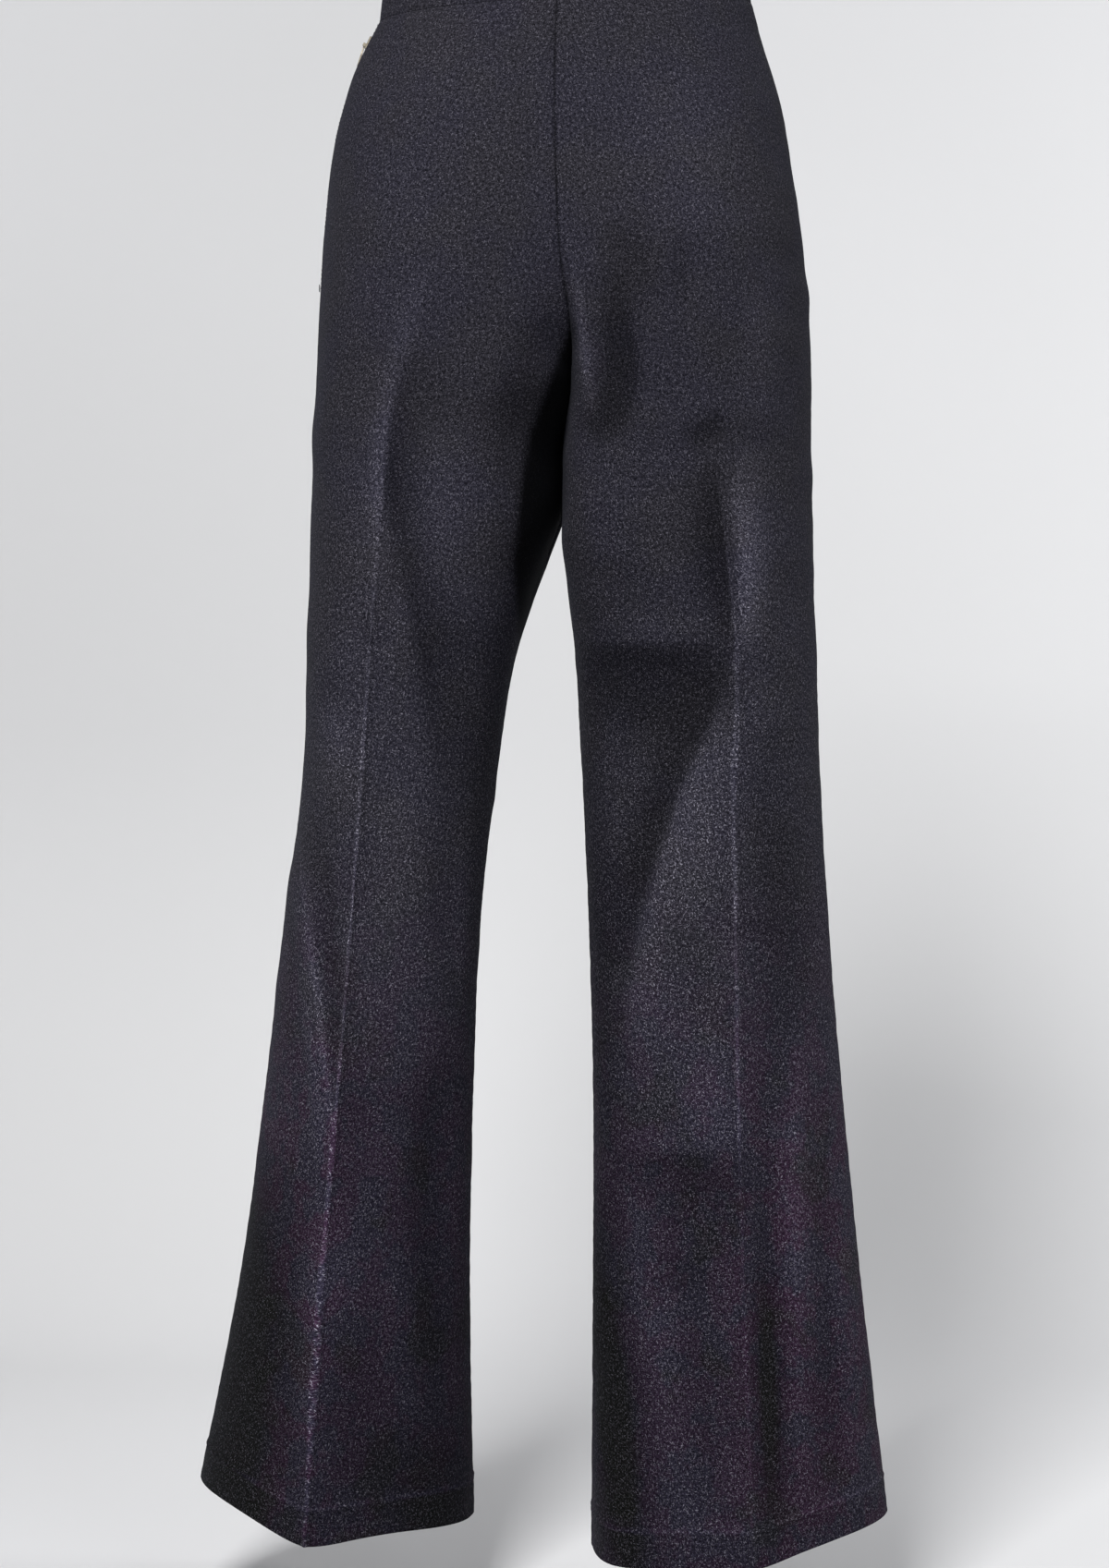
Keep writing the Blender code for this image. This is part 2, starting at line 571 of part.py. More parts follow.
def zip_slider(frame):
    """The slider's body with two lugs and the pin that the pull turns on."""
    foot = SEAM_GAP - PIN_HEIGHT
    top = foot + SLIDER_THICK
    body = box("zip_slider", (foot, -SLIDER_WIDTH / 2, -SLIDER_BELOW_PIN),
               (top, SLIDER_WIDTH / 2, SLIDER_ABOVE_PIN))
    corners = body.modifiers.new("rounded", "BEVEL")
    corners.width = SLIDER_ROUNDING
    corners.segments = 2
    inner = KNUCKLE_WIDTH / 2 + SIDE_PLAY
    for side in (-1, 1):
        ends = sorted((side * inner, side * (inner + LUG_WIDTH)))
        lug = box(f"lug_{side}", (top - LUG_ROOT, ends[0], -LUG_LENGTH / 2),
                  (PIN_RADIUS + LUG_OVER_PIN, ends[1], LUG_LENGTH / 2))
        combine(body, lug, "UNION", frame)
    pin = rod("hinge_pin", PIN_RADIUS, 2 * (inner + LUG_WIDTH / 2))
    combine(body, pin, "UNION", frame)
    return keep(body, zip_metal, frame)


def zip_pull(frame):
    """The pull tab: a tapered plate with a knuckle round the pin, leaning in to the cloth."""
    outline = bpy.data.curves.new("pull_outline", "CURVE")
    outline.dimensions = "2D"
    outline.fill_mode = "BOTH"
    outline.extrude = PULL_THICK / 2
    spline = outline.splines.new("POLY")
    points = pull_outline()
    spline.points.add(len(points) - 1)
    for point, (across, down) in zip(spline.points, points):
        point.co = (across, down, 0, 1)
    spline.use_cyclic_u = True
    flat = bpy.data.objects.new("pull_flat", outline)
    guides.objects.link(flat)
    depsgraph = bpy.context.evaluated_depsgraph_get()
    mesh = bpy.data.meshes.new_from_object(flat.evaluated_get(depsgraph))
    bpy.data.objects.remove(flat)
    bm = bmesh.new()
    bm.from_mesh(mesh)
    bmesh.ops.remove_doubles(bm, verts=bm.verts, dist=MERGE_DISTANCE)
    stand = Matrix(((0, 0, 1, 0), (1, 0, 0, 0), (0, 1, 0, 0), (0, 0, 0, 1)))
    bmesh.ops.transform(bm, matrix=stand, verts=bm.verts)
    bmesh.ops.recalc_face_normals(bm, faces=bm.faces)
    bm.to_mesh(mesh)
    bm.free()
    mesh.name = "zip_pull"
    pull = bpy.data.objects.new("zip_pull", mesh)
    place = frame @ Matrix.Rotation(math.radians(PULL_LEAN), 4, "Y")
    combine(pull, rod("knuckle", KNUCKLE_RADIUS, KNUCKLE_WIDTH), "UNION", place)
    combine(pull, rod("eye", EYE_RADIUS, 3 * KNUCKLE_WIDTH), "DIFFERENCE", place)
    return keep(pull, zip_metal, place)


def pull_outline():
    """The plate's outline from its knuckle down to a round tip: across and up in metres."""
    half_neck, half_tip = KNUCKLE_WIDTH / 2, PULL_WIDTH / 2
    left = [(-half_neck, 0.0), (-half_neck, -PULL_NECK_END), (-half_tip, -PULL_FULL_WIDTH_AT)]
    centre = -PULL_LENGTH + half_tip
    tip = [(half_tip * math.cos(a), centre + half_tip * math.sin(a))
           for a in np.linspace(math.pi, 2 * math.pi, PULL_TIP_STEPS + 1)]
    right = [(-x, y) for x, y in reversed(left)]
    return left + tip + right


def lap_button(frame):
    """A turned button with its sewing holes, on the outside of the lap."""
    bm = bmesh.new()
    profile = (
        (0.0, BUTTON_THICK - BUTTON_DISH),
        (BUTTON_RADIUS - 2 * BUTTON_RIM, BUTTON_THICK - BUTTON_DISH),
        (BUTTON_RADIUS - BUTTON_RIM, BUTTON_THICK),
        (BUTTON_RADIUS - BUTTON_RIM / 3, BUTTON_THICK - BUTTON_EDGE_DROP),
        (BUTTON_RADIUS, BUTTON_THICK / 2),
        (BUTTON_RADIUS - BUTTON_RIM / 2, BUTTON_FOOT_RISE),
        (BUTTON_RADIUS - 2 * BUTTON_RIM, 0.0),
        (0.0, 0.0),
    )
    verts = [bm.verts.new((radius, 0, height)) for radius, height in profile]
    for first, second in zip(verts, verts[1:]):
        bm.edges.new((first, second))
    button = bm_object("waist_button", bm)
    turned = button.modifiers.new("turned", "SCREW")
    turned.steps = BUTTON_STEPS
    turned.render_steps = BUTTON_STEPS
    turned.use_merge_vertices = True
    turned.merge_threshold = MERGE_DISTANCE
    for k in range(BUTTON_HOLES):
        angle = 2 * math.pi * (k + 0.5) / BUTTON_HOLES
        hole = rod(f"button_hole_{k}", BUTTON_HOLE_RADIUS, 4 * BUTTON_THICK, BUTTON_HOLE_SIDES, "Z")
        shift = Matrix.Translation((BUTTON_HOLE_SPREAD * math.cos(angle),
                                    BUTTON_HOLE_SPREAD * math.sin(angle), 0))
        combine(button, hole, "DIFFERENCE", frame @ shift)
    return keep(button, horn, frame)


def material(name, look):
    colour, roughness, metallic = look
    made = bpy.data.materials.new(name)
    made.use_nodes = True
    shader = made.node_tree.nodes["Principled BSDF"]
    shader.inputs["Base Color"].default_value = colour
    shader.inputs["Roughness"].default_value = roughness
    shader.inputs["Metallic"].default_value = metallic
    made.diffuse_color = colour
    return made


for old in list(bpy.data.objects):
    bpy.data.objects.remove(old)
garment = bpy.data.collections.new("wool_trousers")
guides = bpy.data.collections.new("cutters")
bpy.context.scene.collection.children.link(garment)
bpy.context.scene.collection.children.link(guides)
guides.hide_render = True

wool = material("wool", WOOL)
horn = material("horn", HORN)
zip_metal = material("zip_metal", ZIP_METAL)

surfaces = {"left": leg_surface(LEFT_LEG, -1), "right": leg_surface(RIGHT_LEG, 1)}
for side, out in (("left", -1), ("right", 1)):
    normals = joined_normals(surfaces[side], out)
    for half, facing in (("back", -1), ("front", 1)):
        panel = panel_mesh(f"{half}_{side}", surfaces[side][half], normals[half], out, facing)
        panel.data.materials.append(wool)

path, outward, sink = band_run(surfaces)
waistband(path, outward, sink).data.materials.append(wool)
lap_button(button_frame(path, outward))

pin_frame = seam_frame(surfaces["left"]["back"][:, -1], PIN_FROM_WAIST)
pin_frame = pin_frame @ Matrix.Translation((PIN_HEIGHT, 0, 0))
zip_slider(pin_frame)
zip_pull(pin_frame)
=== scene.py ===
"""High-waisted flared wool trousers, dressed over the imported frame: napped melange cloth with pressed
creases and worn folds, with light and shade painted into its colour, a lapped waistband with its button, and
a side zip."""

import math

import bmesh
import bpy
import numpy as np
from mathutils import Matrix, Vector


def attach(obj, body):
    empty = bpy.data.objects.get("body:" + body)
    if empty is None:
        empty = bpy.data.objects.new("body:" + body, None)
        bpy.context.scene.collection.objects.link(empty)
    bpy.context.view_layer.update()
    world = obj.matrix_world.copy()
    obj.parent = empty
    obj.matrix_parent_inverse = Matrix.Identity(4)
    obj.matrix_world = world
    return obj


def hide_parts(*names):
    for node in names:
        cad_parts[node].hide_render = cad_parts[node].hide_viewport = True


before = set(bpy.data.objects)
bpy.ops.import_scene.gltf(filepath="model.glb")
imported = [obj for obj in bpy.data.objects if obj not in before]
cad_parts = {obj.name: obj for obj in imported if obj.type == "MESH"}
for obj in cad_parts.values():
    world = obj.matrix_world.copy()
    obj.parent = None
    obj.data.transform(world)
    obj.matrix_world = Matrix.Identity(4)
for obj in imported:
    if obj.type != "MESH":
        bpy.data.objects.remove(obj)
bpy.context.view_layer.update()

MM = 0.001

# Cloth, in mm like all lengths down to the camera's
WALL = 1.5
HEM_WALL = 3.0
HEM_DEPTH = 25.0
HEM_ROLL_STEPS = 5
ARC_STEPS = 46
EDGE_CROWDING = 0.62
ROW_PITCH = 3.8
FINE_ROW_PITCH = 1.5
FINE_HEM = 36.0
CREASE_DIP_SHARE = 0.16
EASE_ROUNDS = 60
EASE_ROWS = 11.0
SEAM_CALM = 16.0
CREASE_TOP = -300.0
CREASE_FULL = -430.0
SEAM_HALF_GAP = 0.05

# Small forms of the cloth: height and half width
UNEVEN_HEIGHT = 0.45
UNEVEN_WAVES = (26, 80)
ALLOWANCE_HEIGHT = 0.25
SEAM_GROOVE = (0.7, 1.1)
TOP_GROOVE = (0.3, 1.5)
INSIDE_GROOVE = (0.5, 1.5)
PUCKER = (0.22, 6.0)
TURN_UP_STEP = 0.35
HEM_RIDGE = (0.8, 1.5)

# Waistband
BAND_HEIGHT = 30.0
BAND_THICK = 2.4
BAND_TAPER = 4.0
BAND_TILT = 0.05
BAND_GAP = 0.3
BAND_STEPS = 420
BAND_CORNER = 3.0
LAP_LENGTH = 38.0
LAP_SHIFT = 14.0
UNDER_LENGTH = 6.0
BUTTON_FROM_TIP = 12.0
BUTTON_LIFT = 0.5
BUTTON_FACE = 2.1
BUTTON_HOLE_SPREAD = 1.7

# Pressed creases
PRESSED = {"back_left": 1.7, "back_right": 0.9, "front_left": 1.1, "front_right": 1.1}

# How pale each pressed crease is painted, as z and strength: partly worn nap, partly a painted highlight
# along the crease's ridge
CREASE_WEAR_AND_HIGHLIGHT = {
    "back_left": ((-1110, 2.4), (-1000, 4.2), (-900, 7.0), (-600, 7.5), (-500, 5.5), (-430, 2.5),
                  (-330, 0.0)),
    "back_right": ((-1110, 1.6), (-800, 1.4), (-782, 6.0), (-560, 5.5), (-470, 3.5), (-330, 0.0)),
    "front_left": ((-1110, 4.0), (-480, 4.0), (-330, 0.0)),
    "front_right": ((-1110, 4.0), (-480, 4.0), (-330, 0.0)),
}
CREASE_WEAR_AND_HIGHLIGHT_WIDTH = 1.7

# Fibres of the nap as angle, length, width and offset, and the twill under them
FIBRES = ((12, 2.5, 0.72, 0), (-48, 2.2, 0.66, 37), (63, 2.4, 0.70, 91), (97, 2.8, 0.76, 143))
TWILL_PITCH = 0.9

# Painted shadow in the slot between the thighs: its edge on each back panel as z and x, and how soft it is
SLOT_SHADOW_EDGE = {
    "back_left": ((-500, -26), (-440, -35), (-392, -38), (-345, -33), (-306, -26), (-266, -11),
                  (-238, 1), (-222, 9)),
    "back_right": ((-410, -8), (-376, 0), (-345, 3), (-306, 3.5), (-290, 6), (-266, 9), (-235, 9),
                   (-216, -20)),
}
SLOT_SHADOW_SOFT = 6.0

# Zip, from its top on the left side seam
ZIP_TOP = -27.0
ZIP_LENGTH = 178.0
ZIP_CHANNEL = 1.5
TAPE_WIDTH = 13.0
TAPE_THICK = 0.6
TAPE_FROM_SEAM = 0.9
TAPE_UNDER_CLOTH = 0.3

# Teeth and sewing: spacing, length and thickness of the pieces, then where they lie
TOOTH = (1.25, 2.3, 1.0)
TOOTH_STAGGER = 0.55
TOOTH_PROUD = 1.2
HEM_STITCH = (7.5, 1.3, 0.28)
HEM_STITCH_BELOW_EDGE = 3.5
TOP_STITCH = (3.0, 2.3, 0.34)
TOP_STITCH_FROM_SEAM = 6.0
TOP_STITCH_TURN = 0.24
TACK_STITCH = (0.42, 5.0, 0.36)
TACK_HALF = 4.0
TACK_PROUD = 2.2
TACK_POINTS = 9
HOLE_STITCH = (0.5, 2.1, 0.40)
HOLE_ENDS = (6.4, 13.4)
HOLE_HALF_WIDTH = 1.15
HOLE_POINTS = 15
HOLE_SUNK = BUTTON_LIFT - 0.1

# Camera, in m, degrees and mm of lens
CAMERA_PLACE = (-0.0071, -2.8, -0.3632)
CAMERA_TIP = 3.806
CAMERA_LENS = 92

# Studio, in m
FLOOR_LEVEL = -1.135
FLOOR_REACH = 2.4
FLOOR_UNDER_SWEEP = 0.0003
SWEEP_FRONT = -1.3
SWEEP_BACK = 1.35
SWEEP_TOP = 3.0
SWEEP_BEND = 0.55
SWEEP_HALF_WIDTH = 0.74

# Lights: place, target, width and height in m, power in W, spread in degrees and colour
LIGHTS = {
    "key": ((-0.62, -2.1, 1.35), (0.0, -0.1, -0.35), 0.8, 0.8, 32, 100, (1, 1, 1)),
    "fill": ((1.3, -2.5, 0.3), (0.0, -0.1, -0.45), 1.0, 1.2, 10, 180, (0.93, 0.96, 1.0)),
    "wall_left": ((-1.9, 0.55, 0.9), (-0.7, 1.35, -0.2), 0.8, 1.6, 11.5, 180, (1, 1, 1)),
    "wall_right": ((1.8, 0.25, 0.1), (0.5, 0.8, -1.05), 0.8, 1.2, 19.5, 180, (1, 1, 1)),
}
AIR_COLOUR = (0.93, 0.95, 1.0, 1)
AIR_STRENGTH = 0.12

STATION_COLUMNS = (
    "z", "in_drop", "hip_tilt", "instep", "start",
    "back_turn", "back_fold", "front_turn", "front_fold",
)
STATIONS = {
    "waist": (-15.4, 0, 0.050, 0, 4, 20, 0, 18, 1),
    "below_band": (-45, 0, 0.035, 0, 4, 19, 0, 17, 2),
    "high_hip": (-85, 0, 0.020, 0, 5, 17, 0, 14, 3),
    "hip": (-135, 0, 0, 0, 7, 14, 0, 12, 4),
    "seat": (-185, -2, 0, 0, 10, 11, 1, 10, 5),
    "low_seat": (-235, 5, 0, 0, 18, 8, 4, 8, 7),
    "fork_top": (-275, 12, 0, 0, 36, 5, 9, 6, 9),
    "fork": (-310, 23, 0, 0, 62, 3, 12, 4, 11),
    "crotch": (-342, 46, 0, 0, 84, 2, 15, 3, 13),
    "thigh": (-378, 28, 0, 0, 90, 0, 18, 2, 16),
    "low_thigh": (-412, 18, 0, 0, 90, 0, 20, 1, 18),
    "mid_thigh": (-460, 8, 0, 0, 90, 0, 22, 0, 20),
    "above_knee": (-545, 2, 0, 0, 90, 0, 26, 0, 24),
    "knee": (-640, 0, 0, 0, 90, 0, 29, 0, 27),
    "calf": (-760, 0, 0, 0, 90, 0, 31, 0, 29),
    "shin": (-900, 0, 0, 1, 90, 0, 33, 0, 31),
    "hem": (-1059, 0, 0, -5, 90, 0, 35, 0, 33),
}
CENTRE_COLUMNS = ("back_x", "back_y", "back_z", "front_x", "front_y", "front_z")
CENTRE_SEAM = {
    "waist": (-5.5, -90.5, -15.4, 5, 93.5, -15.4),
    "below_band": (-6.5, -100.5, -45, 5.5, 98.5, -45),
    "high_hip": (-7, -111.5, -85, 5.5, 102.5, -85),
    "hip": (-6, -120.5, -135, 5, 103.5, -135),
    "seat": (-3.5, -123.5, -187, 4, 101.5, -182),
    "low_seat": (3, -107, -230.6, 3, 95.4, -224.6),
    "fork_top": (5, -74, -264, 2.5, 80.1, -259),
    "fork": (3.5, -40, -288.4, 2, 46.4, -285.4),
    "crotch": (1.5, -3, -297.5, 1.5, -3, -297.5),
}
FORK = len(CENTRE_SEAM) - 1
LEG_COLUMNS = (
    "in_x", "in_y", "back_x", "back_y", "side_x", "side_y", "front_x", "front_y",
    "back_lean", "front_lean", "back_full", "front_full", "in_lift", "side_lift", "heel",
)
LEFT_LEG = {
    "waist": (0, 0, -62, -81.5, -128, 3, -58, 84.5, 0, 0, 1, 1, 0, 0, 0),
    "below_band": (0, 0, -72, -94.5, -141.5, 3, -64, 90.5, 0, 0, 1, 1, 0, 0, 0),
    "high_hip": (0, 0, -83, -109.5, -155, 2, -72, 95.5, 0, 0, 1, 1, 0, 0, 0),
    "hip": (0, 0, -91, -123.5, -163, 0, -80, 97.5, 0, 0, 1, 1, 0, 0, 0),
    "seat": (0, 0, -99, -131.5, -167.5, -2, -86, 95.5, 0, 0, 1, 1, 0, 0, 0),
    "low_seat": (0, 0, -107, -132.5, -170.5, -3, -90, 93.5, 22, 0, 1, 1, 0, 0, 0),
    "fork_top": (0, 0, -114, -129.5, -172.5, -3, -92, 91.5, 42, 0, 1.5, 1, 0, 0, 0),
    "fork": (0, 0, -118, -125.5, -174.5, -2, -94, 90.5, 20, 4, 1.7, 1, 0, 0, 0),
    "crotch": (1.5, -3, -121.5, -121.5, -175.5, 0, -95, 90.5, 2, 8, 2, 1, 0, 0, 0),
    "thigh": (0.9, -3, -125, -116.5, -177, 2, -94, 91.5, -7, 15, 2, 1, 0, 0, 0),
    "low_thigh": (-13, 0, -128, -112, -177.8, 4, -93, 93.5, -6, 8, 1.8, 1, 0, 0, 0),
    "mid_thigh": (-32, 3, -132, -106.5, -179.5, 6, -92, 95.5, 0, 0, 1.4, 1, 0, 0, 0),
    "above_knee": (-47.5, 9, -138, -97.5, -183.5, 10, -95, 99.5, 0, 0, 1.15, 1, 0, 0, 0),
    "knee": (-58.8, 14, -145.5, -88.5, -196.5, 14, -103, 102.5, 0, 0, 1, 1, 0, 0, 0),
    "calf": (-64.5, 18, -155.5, -85.5, -210.5, 18, -112, 107.5, 0, 0, 1, 1, -1.8, 3, 0),
    "shin": (-67.4, 21, -167.5, -89.8, -228.8, 21, -124, 114.8, 0, 0, 1.05, 1.05, -2.6, 8.6, 2),
    "hem": (-65, 21, -178.5, -99, -258.5, 20, -140, 124, 0, 0, 1.1, 1.1, -11.8, 15.3, 11),
}
RIGHT_LEG = {
    "waist": (0, 0, 60, -81.5, 129, 3, 62, 84.5, 0, 0, 1, 1, 0, 0, 0),
    "below_band": (0, 0, 68, -95.5, 137.5, 3, 66, 90.5, 0, 0, 1, 1, 0, 0, 0),
    "high_hip": (0, 0, 78, -110.5, 150, 1, 74, 95.5, 0, 0, 1, 1, 0, 0, 0),
    "hip": (0, 0, 86, -123.5, 158.5, -1, 80, 97.5, 0, 0, 1, 1, 0, 0, 0),
    "seat": (0, 0, 90, -132.5, 165.5, -3, 85, 95.5, 0, 0, 1, 1, 0, 0, 0),
    "low_seat": (0, 0, 92, -134.5, 169.5, -5, 88, 92.5, 45, 0, 1, 1, 0, 0, 0),
    "fork_top": (0, 0, 93.5, -132.5, 170.8, -6, 89, 89.5, 59, 0, 1.4, 1, 0, 0, 0),
    "fork": (0, 0, 97, -129.5, 170.5, -8, 90, 85.5, 36, -4, 1.8, 1, 0, 0, 0),
    "crotch": (1.5, -3, 101.5, -126.5, 171.1, -10, 90, 82.5, 12, -8, 2.2, 1, 0, 0, 0),
    "thigh": (2.5, -4, 107, -123.5, 172, -12, 90, 80.5, 10, -15, 2.3, 1, 0, 0, 0),
    "low_thigh": (1.5, -6, 111, -120.5, 172.5, -14, 91, 78.5, 8, -12, 1.8, 1, 0, 0, 0),
    "mid_thigh": (7, -9, 115, -118.5, 174.3, -18, 92, 75.5, 0, 0, 1.3, 1, 0, 0, 0),
    "above_knee": (12.3, -16, 113.3, -116.5, 177, -24, 96, 70.5, 0, 0, 1.05, 1.05, 0, 0, 0),
    "knee": (16.7, -24, 114.6, -118.5, 182.5, -31, 102, 64.5, 0, 0, 1.1, 1.1, 0, 0, 0),
    "calf": (19.9, -32, 116.8, -125.5, 192, -38, 108, 61.5, 0, 0, 1.15, 1.15, -2.4, 2.4, 0),
    "shin": (19.7, -38, 120.8, -135.8, 205.8, -44, 116, 60.8, 0, 0, 1.2, 1.2, -8.5, 6.2, 1),
    "hem": (19, -44, 127.1, -149, 224, -48, 124, 65, 0, 0, 2.3, 2.3, -17.5, 7.5, 6),
}

# Folds of each panel: a line of x and z points seen from the back or front, the half width to
# its left (or above a level line), the half width to its right (or below) and the height of
# the ridge, negative for a trough. All in mm.
FOLDS = {
    "back_right": (
        (((117, -457), (104, -493), (87, -538), (72, -585), (59, -630), (50, -678), (46, -735)), 6, 32, 4.8),
        (((101, -478), (79, -522), (60, -570), (43, -631), (36, -680)), 15, 8, -4.6),
        (((21, -436), (55, -438), (92, -436), (113, -432)), 20, 8, 1.2),
        (((14, -468), (56, -470), (86, -468), (111, -460)), 14, 38, -5.0),
        (((29, -196), (34, -228), (36, -263), (30, -294), (10, -306)), 11, 11, -5.0),
        (((7, -206), (13, -249), (15, -292)), 4, 4.5, 2.4),
        (((34, -165), (48, -199), (63, -226)), 18, 16, -2.6),
        (((75, -171), (80, -205), (81, -229)), 9, 5, -1.6),
        (((80, -314), (94, -308), (107, -297)), 9, 8, -2.8),
        (((97, -326), (101, -388), (109, -453)), 15, 6, -4.6),
        (((117, -314), (119, -363), (121, -413), (118, -462)), 5, 14, 4.2),
        (((40, -802), (85, -797), (126, -790)), 8, 34, -1.6),
        (((50, -874), (74, -879), (96, -869)), 13, 15, -1.8),
        (((162, -677), (157, -739), (155, -826), (157, -919), (161, -1038)), 8, 8, 2.4),
        (((134, -730), (135, -824), (139, -948), (141, -1050)), 8, 9, -2.6),
        (((174, -735), (176, -829), (180, -923), (185, -1017)), 8, 8, -1.6),
        (((186, -849), (192, -944), (198, -1044)), 8, 9, 1.4),
        (((47, -788), (55, -862), (66, -942), (80, -1013), (95, -1067)), 12, 26, 1.6),
        (((130, -197), (129, -265), (127, -308)), 12, 14, 1.8),
    ),
    "back_left": (
        (((-105, -256), (-113, -326), (-103, -388), (-92, -451), (-83, -514), (-77, -560)), 8, 22, -4.4),
        (((-92, -196), (-107, -252), (-119, -302), (-124, -350), (-123, -400), (-130, -440)), 9, 7, 3.2),
        (((-137, -428), (-128, -448), (-114, -443)), 5, 5, -1.6),
        (((-185, -612), (-177, -673), (-170, -755), (-165, -823), (-166, -849)), 5, 9, 2.4),
        (((-168, -565), (-162, -640), (-160, -716), (-161, -766)), 8, 8, -2.4),
        (((-85, -728), (-91, -806), (-92, -903), (-88, -995)), 14, 12, -3.2),
        (((-70, -567), (-71, -645), (-73, -724)), 6, 6, 1.4),
        (((-163, -489), (-156, -520), (-159, -558)), 12, 12, 2.4),
        (((-164, -823), (-170, -893), (-173, -956), (-175, -1045)), 9, 24, 3.0),
        (((-14, -231), (-28, -272), (-36, -318)), 15, 12, -2.0),
    ),
    "front_left": (
        (((-18, -262), (-62, -290), (-122, -308)), 15, 14, -3.0),
        (((-10, -240), (-50, -262), (-96, -270)), 8, 9, 1.6),
        (((-58, -556), (-100, -598), (-142, -642)), 18, 20, -3.4),
        (((-70, -610), (-104, -632), (-138, -650)), 7, 10, 1.8),
        (((-122, -400), (-112, -480), (-100, -566)), 14, 16, 2.4),
        (((-42, -360), (-58, -430), (-70, -520)), 10, 14, -2.2),
        (((-160, -690), (-166, -800), (-176, -930)), 8, 10, 2.0),
        (((-92, -740), (-96, -850), (-104, -980)), 12, 12, -2.6),
        (((-196, -800), (-206, -900), (-220, -1020)), 9, 9, 1.6),
    ),
    "front_right": (
        (((20, -262), (64, -286), (120, -302)), 15, 14, -3.0),
        (((12, -238), (56, -258), (104, -262)), 8, 9, 1.6),
        (((50, -588), (100, -620), (152, -652)), 18, 20, -3.4),
        (((66, -636), (104, -654), (146, -668)), 7, 10, 1.8),
        (((118, -420), (112, -490), (102, -566)), 14, 16, 2.4),
        (((40, -370), (52, -440), (60, -530)), 10, 14, -2.2),
        (((150, -700), (156, -820), (164, -940)), 8, 10, 2.0),
        (((66, -760), (64, -860), (62, -985)), 12, 12, -2.6),
        (((186, -830), (194, -920), (204, -1030)), 9, 9, 1.6),
    ),
}


# Painted light and shade: places where the cloth's colour is painted lighter or darker for how light falls
# there, laid out like the folds, with the change of shade in place of the height.
PAINTED_LIGHT_PATCHES = {
    "back_right": (
        (((70, -60), (84, -120), (88, -180)), 34, 34, 1.6),
        (((10, -820), (22, -900), (34, -990), (46, -1120)), 18, 22, -7.0),
        (((60, -580), (72, -640), (80, -710)), 22, 18, -1.9),
        (((92, -700), (99, -750), (106, -812)), 18, 12, 2.0),
        (((168, -880), (178, -980), (186, -1060)), 28, 36, -1.8),
        (((78, -312), (94, -306), (106, -298)), 10, 10, -1.4),
        (((30, -803), (84, -798), (130, -793)), 6, 50, -2.6),
        (((3, -186), (8, -216), (13, -249), (16, -277), (14, -298)), 2.4, 3.0, 3.6),
        (((32, -226), (37, -268), (30, -298), (8, -309)), 11, 9, -4.4),
        (((-10, -452), (60, -453), (124, -450)), 3.5, 42, -4.4),
        (((20, -420), (60, -422), (100, -420)), 14, 10, -1.2),
        (((109, -330), (116, -367), (120, -409), (119, -444), (114, -468)), 5, 6, 4.0),
        (((99, -330), (102, -381), (104, -423), (113, -458)), 8, 5, -2.0),
        (((12, -480), (22, -640), (28, -760), (30, -880)), 12, 15, -3.2),
        (((136, -500), (142, -640), (148, -780)), 16, 18, -2.2),
        (((84, -860), (90, -960), (96, -1060)), 24, 24, -2.9),
        (((130, -860), (136, -960), (140, -1070)), 10, 14, -4.0),
        (((40, -478), (70, -482), (98, -480)), 18, 30, -1.8),
        (((125, -330), (126, -400), (122, -452)), 8, 12, 2.0),
        (((60, -830), (90, -850), (112, -870)), 30, 30, -1.6),
        (((150, -560), (158, -640), (162, -720)), 16, 16, -1.2),
    ),
    "back_left": (
        (((-226, -790), (-236, -920), (-246, -1120)), 30, 46, -8.5),
        (((-184, -590), (-174, -659), (-165.5, -722), (-157, -795)), 2.0, 2.4, 5.5),
        (((-110, -980), (-92, -1050), (-84, -1130)), 40, 40, -4.6),
        (((-100, -260), (-104, -380), (-112, -560), (-120, -760)), 44, 50, 2.4),
        (((-90, -300), (-84, -380), (-80, -440)), 24, 30, 2.4),
        (((-122, -480), (-118, -580), (-124, -680), (-130, -760)), 20, 26, 2.2),
        (((-88, -880), (-90, -960), (-92, -1040)), 26, 26, -1.4),
        (((-112, -266), (-121, -315), (-124, -360), (-124, -420)), 5, 5, 1.8),
        (((-152, -900), (-150, -980), (-146, -1060)), 26, 30, -3.0),
    ),
    "front_left": (),
    "front_right": (),
}


def column(table, columns, name):
    """One named column of a table as an array."""
    return np.array([row[columns.index(name)] for row in table.values()], dtype=float)


def smooth_through(knots, values, at):
    """A smooth curve through values at the knots, read at other places."""
    slopes = np.gradient(values, knots)
    place = np.clip(np.searchsorted(knots, at, side="right") - 1, 0, len(knots) - 2)
    span = knots[place + 1] - knots[place]
    t = (at - knots[place]) / span
    rise = values[place + 1] - values[place]
    start, end = slopes[place] * span, slopes[place + 1] * span
    return (
        values[place]
        + start * t
        + (3 * rise - 2 * start - end) * t**2
        + (start + end - 2 * rise) * t**3
    )


def unit(vectors):
    return vectors / np.linalg.norm(vectors, axis=-1, keepdims=True)


def smooth_step(values, low, high):
    share = np.clip((values - low) / (high - low), 0, 1)
    return share * share * (3 - 2 * share)


def closeness(distance, width):
    """1 on a line, falling off softly within a few widths of it."""
    return np.exp(-((distance / width) ** 2))


def ridge(distance, height, width):
    return height * closeness(distance, width)


def run_lengths(points, axis):
    """Length along a grid's lines from their first point."""
    steps = np.linalg.norm(np.diff(points, axis=axis), axis=-1)
    total = np.cumsum(steps, axis=axis)
    return np.concatenate([np.zeros_like(np.take(total, [0], axis=axis)), total], axis=axis)


